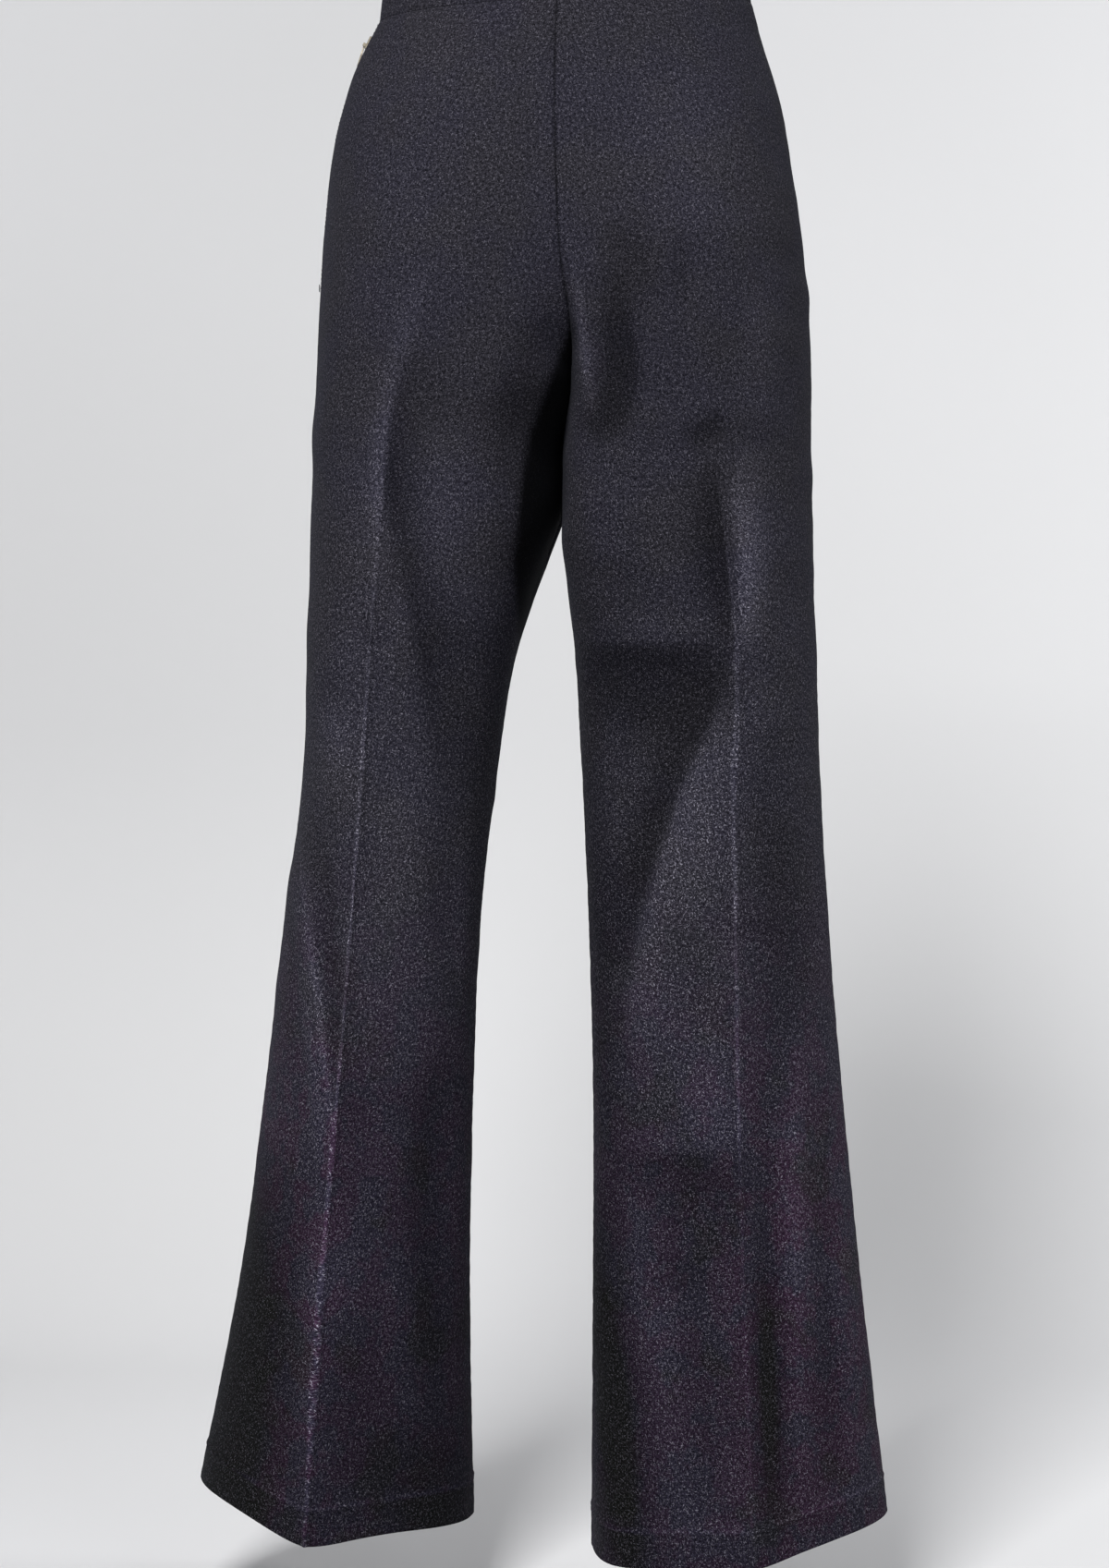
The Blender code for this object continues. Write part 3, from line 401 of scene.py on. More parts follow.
def row_heights():
    """Nominal heights of the cloth's rows, with one at the crotch and close ones at the hem."""
    z = column(STATIONS, STATION_COLUMNS, "z")
    crotch = z[FORK]
    marks = (z[0], z[0] - 6, crotch, z[-1] + FINE_HEM, z[-1])
    pitches = (FINE_ROW_PITCH, ROW_PITCH, ROW_PITCH, FINE_ROW_PITCH)
    rows = []
    for top, bottom, pitch in zip(marks, marks[1:], pitches):
        count = max(1, round((top - bottom) / pitch))
        rows.extend(np.linspace(top, bottom, count, endpoint=False))
    return np.array(rows + [z[-1]])


def crotch_row(heights):
    return int(np.argmin(abs(heights - column(STATIONS, STATION_COLUMNS, "z")[FORK])))


def direction(angle):
    return np.array([math.cos(angle), math.sin(angle)])


def crowded(steps):
    """Places from 0 to 1 that stand closer together at both ends."""
    even = np.linspace(0, 1, steps + 1)
    return even - EDGE_CROWDING * np.sin(2 * math.pi * even) / (2 * math.pi)


def arc(start, start_way, end, end_way, full=1.0):
    """A curve in plan from start to end that leaves and arrives along the given unit ways."""
    chord = np.linalg.norm(end - start)
    turn = math.acos(float(np.clip(np.dot(start_way, end_way), -1, 1)))
    reach = chord / 3
    if turn > 0.01:
        reach = chord * (2 / 3) * math.tan(turn / 4) / math.sin(turn / 2)
    t = crowded(ARC_STEPS)[:, None]
    inner = start + start_way * reach * full
    outer = end - end_way * reach
    return (
        start * (1 - t) ** 3
        + inner * 3 * t * (1 - t) ** 2
        + outer * 3 * t**2 * (1 - t)
        + end * t**3
    )


def half_section(inner, crease, side, start, turn, fold, full, out, facing):
    """One panel's section in plan: inner end, crease, side seam."""
    mirror = np.array([out, facing])
    leave = direction(math.radians(start)) * mirror
    reach_crease = direction(math.radians(fold - turn)) * mirror
    pass_crease = direction(math.radians(-fold - turn)) * mirror
    reach_side = direction(math.radians(-90)) * mirror
    first = arc(inner, leave, crease, reach_crease, full)
    second = arc(crease, pass_crease, side, reach_side)
    return np.vstack([first, second[1:]])


def leg_lines(leg, heights):
    """Every line of one leg read at the rows, with the centre seam above the crotch."""
    z = column(STATIONS, STATION_COLUMNS, "z")

    def read(marks, values):
        return smooth_through(marks[::-1], values[::-1], heights)

    lines = {name: read(z, column(STATIONS, STATION_COLUMNS, name)) for name in STATION_COLUMNS}
    for name in LEG_COLUMNS[2:]:
        lines[name] = read(z, column(leg, LEG_COLUMNS, name))
    drop = column(STATIONS, STATION_COLUMNS, "in_drop")
    inner = {axis: read(z[FORK:], column(leg, LEG_COLUMNS, f"in_{axis}")[FORK:]) for axis in "xy"}
    inner["z"] = heights + read(z[FORK:], drop[FORK:])
    for half in ("back", "front"):
        for axis in "xyz":
            centre = read(z[:FORK + 1], column(CENTRE_SEAM, CENTRE_COLUMNS, f"{half}_{axis}"))
            lines[f"{half}_in_{axis}"] = np.where(heights < z[FORK], inner[axis], centre)
    return lines


def leg_surface(leg, out, heights):
    """Back and front panel surfaces of one leg as grids of points, before folds."""
    lines = leg_lines(leg, heights)
    t = crowded(ARC_STEPS) / 2
    share = np.concatenate([t, 0.5 + t[1:]])
    panels = {}
    for half, facing in (("back", -1), ("front", 1)):
        dip = lines["heel"] if half == "back" else lines["instep"]
        grid = []
        for i, z in enumerate(heights):
            inner = np.array([lines[f"{half}_in_x"][i], lines[f"{half}_in_y"][i]])
            crease = np.array([lines[f"{half}_x"][i], lines[f"{half}_y"][i]])
            side = np.array([lines["side_x"][i], lines["side_y"][i]])
            start = lines["start"][i] + lines[f"{half}_lean"][i]
            plan = half_section(inner, crease, side, start, lines[f"{half}_turn"][i],
                                lines[f"{half}_fold"][i], lines[f"{half}_full"][i], out, facing)
            level = np.interp(share, (0, 0.5, 1), (lines[f"{half}_in_z"][i], z, z))
            reach = (plan[:, 0] - inner[0]) / (side[0] - inner[0])
            level = level + lines["in_lift"][i] * (1 - reach) + lines["side_lift"][i] * reach
            level = level + lines["hip_tilt"][i] * plan[:, 0]
            level = level - dip[i] * closeness(share - 0.5, CREASE_DIP_SHARE)
            grid.append(np.column_stack([plan, level]))
        panels[half] = eased(np.array(grid), crotch_row(heights), share)
    return panels


def eased(grid, row, share):
    """A panel grid whose bend along the crotch's row is rounded off away from the seams."""
    soft = grid.copy()
    for _ in range(EASE_ROUNDS):
        soft[1:-1] = (soft[:-2] + 2 * soft[1:-1] + soft[2:]) / 4
    near = closeness(np.arange(len(grid)) - row, EASE_ROWS)
    inner = smooth_step(share, 0.01, 0.12) * (1 - smooth_step(share, 0.5, 0.8))
    return grid + (soft - grid) * (near[:, None] * inner)[..., None]


def grid_normals(grid, out, facing):
    """Unit normals of a panel grid, pointing out of the garment."""
    down = np.gradient(grid, axis=0)
    across = np.gradient(grid, axis=1)
    return unit(np.cross(across, down) * (out * facing))


def joined_normals(panels, out, crotch):
    """Normals of a leg's two panels, shared along the seams where they meet."""
    back = grid_normals(panels["back"], out, -1)
    front = grid_normals(panels["front"], out, 1)
    side = unit(back[:, -1] + front[:, -1])
    inseam = unit(back[crotch + 1:, 0] + front[crotch + 1:, 0])
    for normal in (back, front):
        normal[:, -1] = side
        normal[crotch + 1:, 0] = inseam
        normal[:crotch, 0, 0] = 0.0
        normal[:crotch, 0] = unit(normal[:crotch, 0])
        normal[crotch, 0] = (-out * 0.8, 0.0, -0.6)
    return {"back": back, "front": front}


def fold_relief(points, folds):
    """How far the folds push each point out of the plain surface."""
    seen = points[..., (0, 2)]
    total = np.zeros(seen.shape[:-1])
    for line, before, after, height in folds:
        knots = np.array(line, dtype=float)
        marks = run_lengths(knots, 0)
        places = np.linspace(0, marks[-1], 28)
        curve = np.column_stack([smooth_through(marks, knots[:, k], places) for k in range(2)])
        nearest = np.full(total.shape, np.inf)
        bump = np.zeros(total.shape)
        for k, (a, b) in enumerate(zip(curve, curve[1:])):
            way = (b - a) / np.linalg.norm(b - a)
            rel = seen - a
            along = np.clip(rel @ way, 0, np.linalg.norm(b - a))
            away = rel - along[..., None] * way
            far = np.linalg.norm(away, axis=-1)
            side = way[0] * rel[..., 1] - way[1] * rel[..., 0]
            left = np.where(abs(way[1]) > abs(way[0]), -np.sign(way[1]), -1.0) * side < 0
            width = np.where(left, before, after)
            share = (k + along / np.linalg.norm(b - a)) / (len(curve) - 1)
            here = np.sin(math.pi * np.clip(share, 0, 1)) ** 0.7 * closeness(far, width)
            closer = far < nearest
            bump = np.where(closer, here, bump)
            nearest = np.where(closer, far, nearest)
        total += height * bump
    return total


def ripple(points, seed, size, low, high):
    """A soft unevenness made of crossing waves, about as high as size."""
    draw = np.random.default_rng(seed)
    total = np.zeros(points.shape[:-1])
    for _ in range(18):
        way = draw.uniform(0, math.pi)
        wave = draw.uniform(low, high)
        run = points[..., 0] * math.cos(way) + points[..., 2] * math.sin(way)
        total += np.sin(run * 2 * math.pi / wave + draw.uniform(0, 2 * math.pi))
    return total * size / 3


def panel_relief(name, grid):
    """Outward push of every point of a panel for folds, pressed crease, seams, zip and hem,
    with the light and shade painted into the cloth's colour there and the painted shadow of the slot between
    the thighs."""
    across = run_lengths(grid, 1)
    from_crease = across - across[:, ARC_STEPS:ARC_STEPS + 1]
    to_side = across[:, -1:] - across
    to_top = run_lengths(grid, 0)
    to_hem = to_top[-1:] - to_top
    to_seam = np.minimum(across, to_side)
    z = grid[..., 2]
    calm = smooth_step(to_seam, 0, SEAM_CALM) * smooth_step(to_top, 2, 30)
    folds = fold_relief(grid, FOLDS[name]) * calm
    uneven = ripple(grid, sum(map(ord, name)), UNEVEN_HEIGHT, *UNEVEN_WAVES) * calm
    pressed = smooth_step(-z, -CREASE_TOP, -CREASE_FULL) * PRESSED[name]
    pinch = pressed * (closeness(from_crease, 1.7) - 0.5 * closeness(from_crease, 7.0))
    allowance = ALLOWANCE_HEIGHT * smooth_step(to_seam, 1.5, 5) * (1 - smooth_step(to_seam, 10, 13))
    groove = -ridge(to_seam, *SEAM_GROOVE) - ridge(to_top, *TOP_GROOVE)
    waves = np.sin(to_top / 2.3 + 2 * np.sin(to_top / 11))
    pucker = waves * ridge(to_seam, *PUCKER)
    above = to_hem - HEM_DEPTH - 0.7 * np.sin(across / 23)
    turn_up = TURN_UP_STEP * (1 - smooth_step(above, -1.5, 1.0)) + ridge(above, *HEM_RIDGE)
    relief = folds + uneven + pinch + allowance + groove + pucker + turn_up
    if name.endswith("left"):
        zipped = smooth_step(ZIP_TOP - z, 0, 5) * (1 - smooth_step(ZIP_TOP - z, ZIP_LENGTH - 6, ZIP_LENGTH))
        relief = relief - ZIP_CHANNEL * zipped * np.exp(-((to_side / 1.7) ** 4))
    # Pale line along the pressed crease: partly worn nap, partly a painted highlight.
    wear_and_painted_light = np.interp(z, *zip(*CREASE_WEAR_AND_HIGHLIGHT[name])) * closeness(from_crease, CREASE_WEAR_AND_HIGHLIGHT_WIDTH)
    # Painted highlight on the turn-up's ridge and painted shade on the cloth below it.
    hem_painted_light = ridge(above, 2.2, 1.3) - 1.2 * (1 - smooth_step(above, -3, -1.5))
    seam_shade = ridge(to_seam, -2.6, 0.9)
    # Painted light and shade: fold ridges painted lighter and troughs darker, plus the painted patches, the
    # crease's pale line, the hem and painted shade along the seams.
    painted_light_and_shade = folds + fold_relief(grid, PAINTED_LIGHT_PATCHES[name]) + wear_and_painted_light + pinch + hem_painted_light + seam_shade
    # Painted shadow: cloth past the slot's edge is darkened, standing in for the shade between the thighs.
    slot_shadow = np.zeros(z.shape)
    if name in SLOT_SHADOW_EDGE:
        inward = 1 if name.endswith("left") else -1
        past = (grid[..., 0] - np.interp(z, *zip(*SLOT_SHADOW_EDGE[name]))) * inward
        slot_shadow = smooth_step(past, 0, SLOT_SHADOW_SOFT) * (from_crease < 0)
    return relief, painted_light_and_shade, slot_shadow


def panel_mesh(name, grid, normal, out, facing, crotch):
    """A panel of cloth as one closed shell, its hem rolled under, with its cut's coordinates.
    Returns it with the grid of its outside."""
    relief, painted_light_and_shade, slot_shadow = panel_relief(name, grid)
    outside = grid + normal * relief[..., None]
    outside[:, -1, 1] += facing * SEAM_HALF_GAP
    outside[: crotch + 1, 0, 0] += out * SEAM_HALF_GAP
    outside[crotch:, 0, 1] += facing * SEAM_HALF_GAP
    across = run_lengths(grid, 1)
    to_seam = np.minimum(across, across[:, -1:] - across)
    across = across - across[:, ARC_STEPS:ARC_STEPS + 1]
    down = run_lengths(grid, 0)
    to_hem = down[-1:] - down
    depth = WALL + (HEM_WALL - WALL) * (1 - smooth_step(to_hem, HEM_DEPTH - 2, HEM_DEPTH))
    depth = depth - ridge(to_seam, *INSIDE_GROOVE)
    inside = outside - normal * depth[..., None]
    side_y = facing * outside[:, -1, 1] - SEAM_HALF_GAP
    inside[:, -1, 1] = facing * np.maximum(facing * inside[:, -1, 1], side_y)
    inside[: crotch + 1, 0, 0] -= out * SEAM_HALF_GAP
    inside[crotch:, 0, 1] -= facing * SEAM_HALF_GAP
    roll = []
    for k in range(1, HEM_ROLL_STEPS):
        angle = math.pi * k / HEM_ROLL_STEPS
        middle = (outside[-1] + inside[-1]) / 2
        arm = (outside[-1] - inside[-1]) / 2
        under = unit(outside[-1] - outside[-2]) * np.linalg.norm(arm, axis=-1, keepdims=True)
        roll.append(middle + arm * math.cos(angle) + under * math.sin(angle))
    shift = HEM_WALL / 2
    ring = np.concatenate([outside, np.array(roll), inside[::-1]])
    ring[..., 2] = np.maximum(ring[..., 2], outside[-1:, :, 2] - 0.4)
    turn_run = down[-1:] + np.linspace(0.5, 1.5, HEM_ROLL_STEPS - 1)[:, None] * shift
    v = np.concatenate([down, turn_run, 2 * down[-1:] + 2 * shift - down[::-1]])
    u = np.concatenate([across, np.repeat(across[-1:], HEM_ROLL_STEPS - 1, 0), across[::-1]])
    # The marks carry the outside's painted light and shade and its painted slot shadow; the inside gets 0.
    marks = {
        label: np.concatenate([values, np.repeat(values[-1:], HEM_ROLL_STEPS - 1, 0), 0 * values[::-1]])
        for label, values in (("outer", 1.0 + 0 * painted_light_and_shade), ("relief", painted_light_and_shade), ("slot_shadow", slot_shadow))
    }
    return shell(name + "_cloth", ring, u, v, marks, len(outside), out * facing > 0), outside


def shell(name, ring, u, v, marks, rows, flip):
    """A closed mesh from a ring of rows, capped at both ends of the rows."""
    total, columns = ring.shape[:2]
    index = np.arange(total * columns).reshape(total, columns)
    after = np.roll(index, -1, axis=0)
    faces = np.stack([index[:, :-1], after[:, :-1], after[:, 1:], index[:, 1:]], axis=-1).reshape(-1, 4)
    caps = []
    fold = total - 2 * rows
    for j, way in ((0, -1), (columns - 1, 1)):
        for i in range(rows - 1):
            mirror = total - 1 - i
            caps.append([index[i, j], index[i + 1, j], index[mirror - 1, j], index[mirror, j]][::way])
        caps.append([index[rows - 1 + k, j] for k in range(fold + 2)][::way])
    polygons = faces.tolist() + [list(map(int, cap)) for cap in caps]
    if flip:
        polygons = [polygon[::-1] for polygon in polygons]
    mesh = bpy.data.meshes.new(name)
    mesh.from_pydata((ring.reshape(-1, 3) * MM).tolist(), [], polygons)
    mark_cloth(mesh, u, v, marks)
    mesh.validate()
    mesh.shade_smooth()
    return linked(name, mesh)


def mark_cloth(mesh, u, v, marks):
    """Gives a mesh its cut's coordinates, from mm, and one value a point for each mark."""
    corner = np.empty(len(mesh.loops), dtype=int)
    mesh.loops.foreach_get("vertex_index", corner)
    flat = np.column_stack([u.ravel()[corner], v.ravel()[corner]]) * MM
    layer = mesh.uv_layers.new(name="cloth")
    layer.data.foreach_set("uv", flat.ravel().astype(np.float32))
    for label, values in marks.items():
        attribute = mesh.attributes.new(label, "FLOAT", "POINT")
        attribute.data.foreach_set("value", values.ravel().astype(np.float32))


def linked(name, mesh):
    """An object that shows a mesh in the scene."""
    item = bpy.data.objects.new(name, mesh)
    bpy.context.scene.collection.objects.link(item)
    return item


def finished(name, points, polygons):
    """An object of closed faces turned outward, from points in mm."""
    mesh = bpy.data.meshes.new(name)
    mesh.from_pydata((points * MM).tolist(), [], polygons)
    bm = bmesh.new()
    bm.from_mesh(mesh)
    bmesh.ops.recalc_face_normals(bm, faces=bm.faces)
    bm.to_mesh(mesh)
    bm.free()
    mesh.shade_smooth()
    return linked(name, mesh)


def tube_faces(count, length):
    """Faces of a tube of points numbered line by line, and of its two ends: count lines lie
    round it, each with length points along it."""
    index = np.arange(count * length).reshape(count, length)
    after = np.roll(index, -1, axis=0)
    sides = np.stack([index[:, :-1], index[:, 1:], after[:, 1:], after[:, :-1]], axis=-1)
    return sides.reshape(-1, 4).tolist() + [index[:, 0].tolist(), index[::-1, -1].tolist()]


def along_path(points, places):
    """Points of a path at the given lengths along it."""
    lengths = run_lengths(points, 0)
    return np.column_stack([np.interp(places, lengths, points[:, k]) for k in range(points.shape[1])])


def band_run(surfaces):
    """The waistband's plan, outward ways and inward shift along its run, tip to tip."""
    left, right = surfaces["left"], surfaces["right"]
    ring = np.vstack([left["back"][0][::-1], right["back"][0][1:],
                      right["front"][0][::-1][1:], left["front"][0][1:]])[:, :2]
    total = run_lengths(ring, 0)[-1]
    twice = np.vstack([ring[:-1], ring[:-1], ring])
    places = np.linspace(-LAP_LENGTH, total + UNDER_LENGTH, BAND_STEPS + 1)
    path = along_path(twice, places + total)
    tangent = unit(np.gradient(path, axis=0))
    outward = np.column_stack([tangent[:, 1], -tangent[:, 0]])
    sink = smooth_step(places, total - LAP_LENGTH - LAP_SHIFT, total - LAP_LENGTH)
    return path, outward, sink * (BAND_THICK + BAND_GAP), places


def waist_level(path):
    return column(STATIONS, STATION_COLUMNS, "z")[0] + BAND_TILT * path[:, 0]


def band_profile():
    """The strip's section from its outer bottom edge over the fold to its inner bottom edge:
    how far in and how far up each point lies."""
    half = BAND_THICK / 2
    outer = [(0.35, 0.0), (0.1, 0.25), (0.0, 0.7)]
    face = [(-0.15 * math.sin(math.pi * k / 7), 1.4 + (BAND_HEIGHT - 2.8) * k / 7) for k in range(1, 7)]
    top = [(half * (1 - math.cos(a)), BAND_HEIGHT - half + half * math.sin(a))
           for a in np.linspace(0, math.pi, 9)]
    inner = [(BAND_THICK, BAND_HEIGHT * k / 6) for k in range(5, 0, -1)]
    foot = [(BAND_THICK - 0.1, 0.6), (BAND_THICK - 0.5, 0.0)]
    return np.array(outer + face + top + inner + foot)


def waistband(path, outward, sink, places):
    """A doubled strip round the waist whose front end passes under its back end."""
    profile = band_profile()
    middle = profile.mean(axis=0)
    bottom = waist_level(path) - BAND_GAP / 3
    end = np.minimum(places - places[0], places[-1] - places)
    bend = np.clip(1 - end / BAND_CORNER, 0, 1)
    tall = 1 - (1 - np.sqrt(1 - bend**2)) * 2 * BAND_CORNER / BAND_HEIGHT
    slim = 1 - 0.7 * np.clip(1 - end / 1.2, 0, 1) ** 2
    uneven = 0.25 * np.sin(places / 31) + 0.15 * np.sin(places / 12.7 + 1)
    rows = []
    for inset, up in profile:
        inset = middle[0] + (inset - middle[0]) * slim
        up = BAND_HEIGHT / 2 + (up - BAND_HEIGHT / 2) * tall
        depth = sink + inset + up / BAND_HEIGHT * BAND_TAPER - uneven * np.sin(math.pi * up / BAND_HEIGHT)
        rows.append(np.column_stack([path - outward * depth[:, None], bottom + up]))
    ring = np.array(rows)
    item = finished("waistband_cloth", ring.reshape(-1, 3), tube_faces(*ring.shape[:2]))
    girth = run_lengths(profile, 0)
    plain = np.zeros(ring.shape[:2])
    mark_cloth(item.data, plain + places, plain + girth[:, None],
               {"outer": plain + 1.0, "relief": plain, "slot_shadow": plain})
    item.data.set_sharp_from_angle(angle=math.radians(60))
    return item


def button_seat(path, outward, places):
    """The button's middle on the lap's outer face, with the ways along, up and out of it."""
    at = places[0] + BUTTON_FROM_TIP
    plan, way = (np.array([np.interp(at, places, line[:, k]) for k in range(2)]) for line in (path, outward))
    out = unit(np.array([way[0], way[1], BAND_TAPER / BAND_HEIGHT]))
    along = unit(np.cross((0, 0, 1), out))
    level = waist_level(plan[None])[0] + BAND_GAP + BAND_HEIGHT / 2
    middle = np.array([*plan, level]) - np.array([way[0], way[1], 0]) * BAND_TAPER / 2
    return middle + out * BUTTON_LIFT, along, np.cross(out, along), out


def beside_seam(grid, away, top, bottom):
    """Points of a panel at a length from its side seam, between two heights."""
    rows = (grid[:, -1, 2] < top) & (grid[:, -1, 2] > bottom)
    lengths = run_lengths(grid, 1)
    place = lengths[:, -1] - away
    return np.array([[np.interp(place[i], lengths[i], grid[i, :, k]) for k in range(3)]
                     for i in np.flatnonzero(rows)])


def above_hem(grid, up):
    """Points of a panel at a length above its hem, from the inner seam to the side."""
    lengths = run_lengths(grid, 0)
    place = lengths[-1] - up
    return np.array([[np.interp(place[j], lengths[:, j], grid[:, j, k]) for k in range(3)]
                     for j in range(grid.shape[1])])


def zip_tape(name, grid, normal):
    """One side's tape of the zip, lying on the inside of a panel beside the side seam."""
    bottom = ZIP_TOP - ZIP_LENGTH - 8
    columns = np.linspace(TAPE_FROM_SEAM, TAPE_WIDTH, 5)
    lining = grid - normal * (WALL + TAPE_UNDER_CLOTH)
    under = lining - normal * TAPE_THICK
    near, far = ([beside_seam(face, away, ZIP_TOP + 6, bottom) for away in columns]
                 for face in (lining, under))
    ring = np.array(near + far[::-1])
    return finished(name, ring.reshape(-1, 3), tube_faces(*ring.shape[:2]))


def strands(name, paths, radius):
    """Round threads along paths of points in mm."""
    curve = bpy.data.curves.new(name, "CURVE")
    curve.dimensions = "3D"
    curve.bevel_depth = radius * MM
    curve.bevel_resolution = 2
    curve.use_fill_caps = True
    for path in paths:
        spline = curve.splines.new("POLY")
        spline.points.add(len(path) - 1)
        for point, place in zip(spline.points, path):
            point.co = (*(np.asarray(place) * MM), 1)
    source = bpy.data.objects.new(name, curve)
    mesh = bpy.data.meshes.new_from_object(source)
    mesh.shade_smooth()
    bpy.data.objects.remove(source)
    return linked(name, mesh)


def button_thread(seat):
    """Two crossed bars of thread through the button's four holes."""
    middle, along, up, out = seat
    reach = BUTTON_HOLE_SPREAD * math.sqrt(0.5)
    paths = []
    for way in (along + up, along - up):
        across = np.cross(out, unit(way))
        for shift in (-0.3, 0.0, 0.3):
            path = []
            for t in np.linspace(-1, 1, 9):
                height = BUTTON_FACE + 0.55 - 1.5 * max(0.0, abs(t) - 0.7) / 0.3
                path.append(middle + way * reach * t + across * shift + out * (height + 0.05 * (shift > 0)))
            paths.append(path)
    return strands("button_thread", paths, 0.17)


class Wire:
    """A socket in a node tree, so that sums over a surface are written as plain Python."""

    def __init__(self, socket):
        self.socket = socket

    def make(self, kind, settings=None, inputs=None, output=0):
        """Adds any other node beside this one: its settings first, then its sockets."""
        return add_node(self.socket.id_data, kind, settings, inputs, output)

    def math(self, operation, other=0.0, swapped=False):
        pair = {0: other, 1: self} if swapped else {0: self, 1: other}
        return self.make("ShaderNodeMath", {"operation": operation}, pair)

    def __add__(self, other):
        return self.math("ADD", other)

    def __sub__(self, other):
        return self.math("SUBTRACT", other)

    def __rsub__(self, other):
        return self.math("SUBTRACT", other, swapped=True)

    def __mul__(self, other):
        return self.math("MULTIPLY", other)

    __radd__ = __add__
    __rmul__ = __mul__

    def ramp(self, low, high, start=0.0, end=1.0):
        """This value from low to high, spread smoothly from start to end."""
        return self.make("ShaderNodeMapRange", {"interpolation_type": "SMOOTHSTEP"},
                         {"Value": self, "From Min": low, "From Max": high, "To Min": start, "To Max": end})

    def mixed(self, first, second):
        """Two colours mixed by this value."""
        return self.make("ShaderNodeMix", {"data_type": "RGBA"}, {0: self, 6: first, 7: second}, 2)

    def stretched(self, x, y, z=1.0):
        """These coordinates times one number each way."""
        return self.make("ShaderNodeVectorMath", {"operation": "MULTIPLY"}, {0: self, 1: (x, y, z)})

    def moved(self, x, y, z=0.0):
        return self.make("ShaderNodeVectorMath", {"operation": "ADD"}, {0: self, 1: (x, y, z)})

    def noise(self, scale, detail=2.0, roughness=0.5):
        return self.make("ShaderNodeTexNoise", {}, {"Vector": self, "Scale": scale, "Detail": detail,
                                                    "Roughness": roughness})


def add_node(tree, kind, settings=None, inputs=None, output=0):
    """A node in a tree, with its settings and the values or links of its sockets."""
    node = tree.nodes.new(kind)
    for name, value in (settings or {}).items():
        setattr(node, name, value)
    for name, value in (inputs or {}).items():
        if isinstance(value, Wire):
            tree.links.new(value.socket, node.inputs[name])
        else:
            node.inputs[name].default_value = value
    return Wire(node.outputs[output]) if len(node.outputs) else node


def material(name, fixed, surface):
    """A material whose shader takes fixed numbers, and what surface(tree) returns for the rest."""
    made = bpy.data.materials.new(name)
    made.use_nodes = True
    tree = made.node_tree
    shader = tree.nodes["Principled BSDF"]
    for label, value in fixed.items():
        shader.inputs[label].default_value = value
    for label, wire in surface(tree).items():
        tree.links.new(wire.socket, shader.inputs[label])
    return made


STITCH_INPUTS = (
    ("Line", "NodeSocketGeometry"), ("Spacing", "NodeSocketFloat"), ("Length", "NodeSocketFloat"),
    ("Thickness", "NodeSocketFloat"), ("Turn", "NodeSocketFloat"), ("Stagger", "NodeSocketFloat"),
    ("Seed", "NodeSocketInt"), ("Look", "NodeSocketMaterial"),
)


def stitch_tree():
    """Nodes that lay one small rounded piece after another along a line of points, turned by
    the line's way and by the points' out direction."""
    tree = bpy.data.node_groups.new("stitches", "GeometryNodeTree")
    for label, kind in STITCH_INPUTS:
        tree.interface.new_socket(label, in_out="INPUT", socket_type=kind)
    tree.interface.new_socket("Sewn", in_out="OUTPUT", socket_type="NodeSocketGeometry")
    door = tree.nodes.new("NodeGroupInput")
    given = {label: Wire(door.outputs[label]) for label, _ in STITCH_INPUTS}
    line = add_node(tree, "GeometryNodeMeshToCurve", {}, {0: given["Line"]})
    places = add_node(tree, "GeometryNodeResampleCurve", {"mode": "LENGTH"},
                      {"Curve": line, "Length": given["Spacing"]})
    out = add_node(tree, "GeometryNodeInputNamedAttribute", {"data_type": "FLOAT_VECTOR"}, {"Name": "out"})
    way = add_node(tree, "GeometryNodeInputTangent")
    facing = add_node(tree, "FunctionNodeAlignRotationToVector", {"axis": "Z"}, {"Vector": out})
    lying = add_node(tree, "FunctionNodeAlignRotationToVector", {"axis": "X", "pivot_axis": "Z"},
                     {"Rotation": facing, "Vector": way})
    bead = add_node(tree, "GeometryNodeMeshUVSphere", {}, {"Segments": 8, "Rings": 6, "Radius": 0.5})
    form = add_node(tree, "ShaderNodeCombineXYZ", {},
                    {0: given["Length"], 1: given["Thickness"], 2: given["Thickness"]})
    piece = add_node(tree, "GeometryNodeTransform", {}, {"Geometry": bead, "Scale": form})
    vary = add_node(tree, "FunctionNodeRandomValue", {"data_type": "FLOAT"},
                    {2: 0.86, 3: 1.12, "Seed": given["Seed"]}, 1)
    laid = add_node(tree, "GeometryNodeInstanceOnPoints", {},
                    {"Points": places, "Instance": piece, "Rotation": lying, "Scale": vary})
    skew = add_node(tree, "FunctionNodeRandomValue", {"data_type": "FLOAT"},
                    {2: -0.09, 3: 0.09, "Seed": given["Seed"] + 7}, 1)
    spin = add_node(tree, "ShaderNodeCombineXYZ", {}, {2: given["Turn"] + skew})
    turned = add_node(tree, "GeometryNodeRotateInstances", {}, {"Instances": laid, "Rotation": spin})
    count = add_node(tree, "GeometryNodeInputIndex")
    parity = count.math("MODULO", 2.0) * 2 - 1
    step = add_node(tree, "ShaderNodeCombineXYZ", {}, {0: parity * given["Stagger"]})
    moved = add_node(tree, "GeometryNodeTranslateInstances", {}, {"Instances": turned, "Translation": step})
    solid = add_node(tree, "GeometryNodeRealizeInstances", {}, {0: moved})
    dressed = add_node(tree, "GeometryNodeSetMaterial", {}, {"Geometry": solid, "Material": given["Look"]})
    shut = tree.nodes.new("NodeGroupOutput")
    tree.links.new(dressed.socket, shut.inputs[0])
    return tree


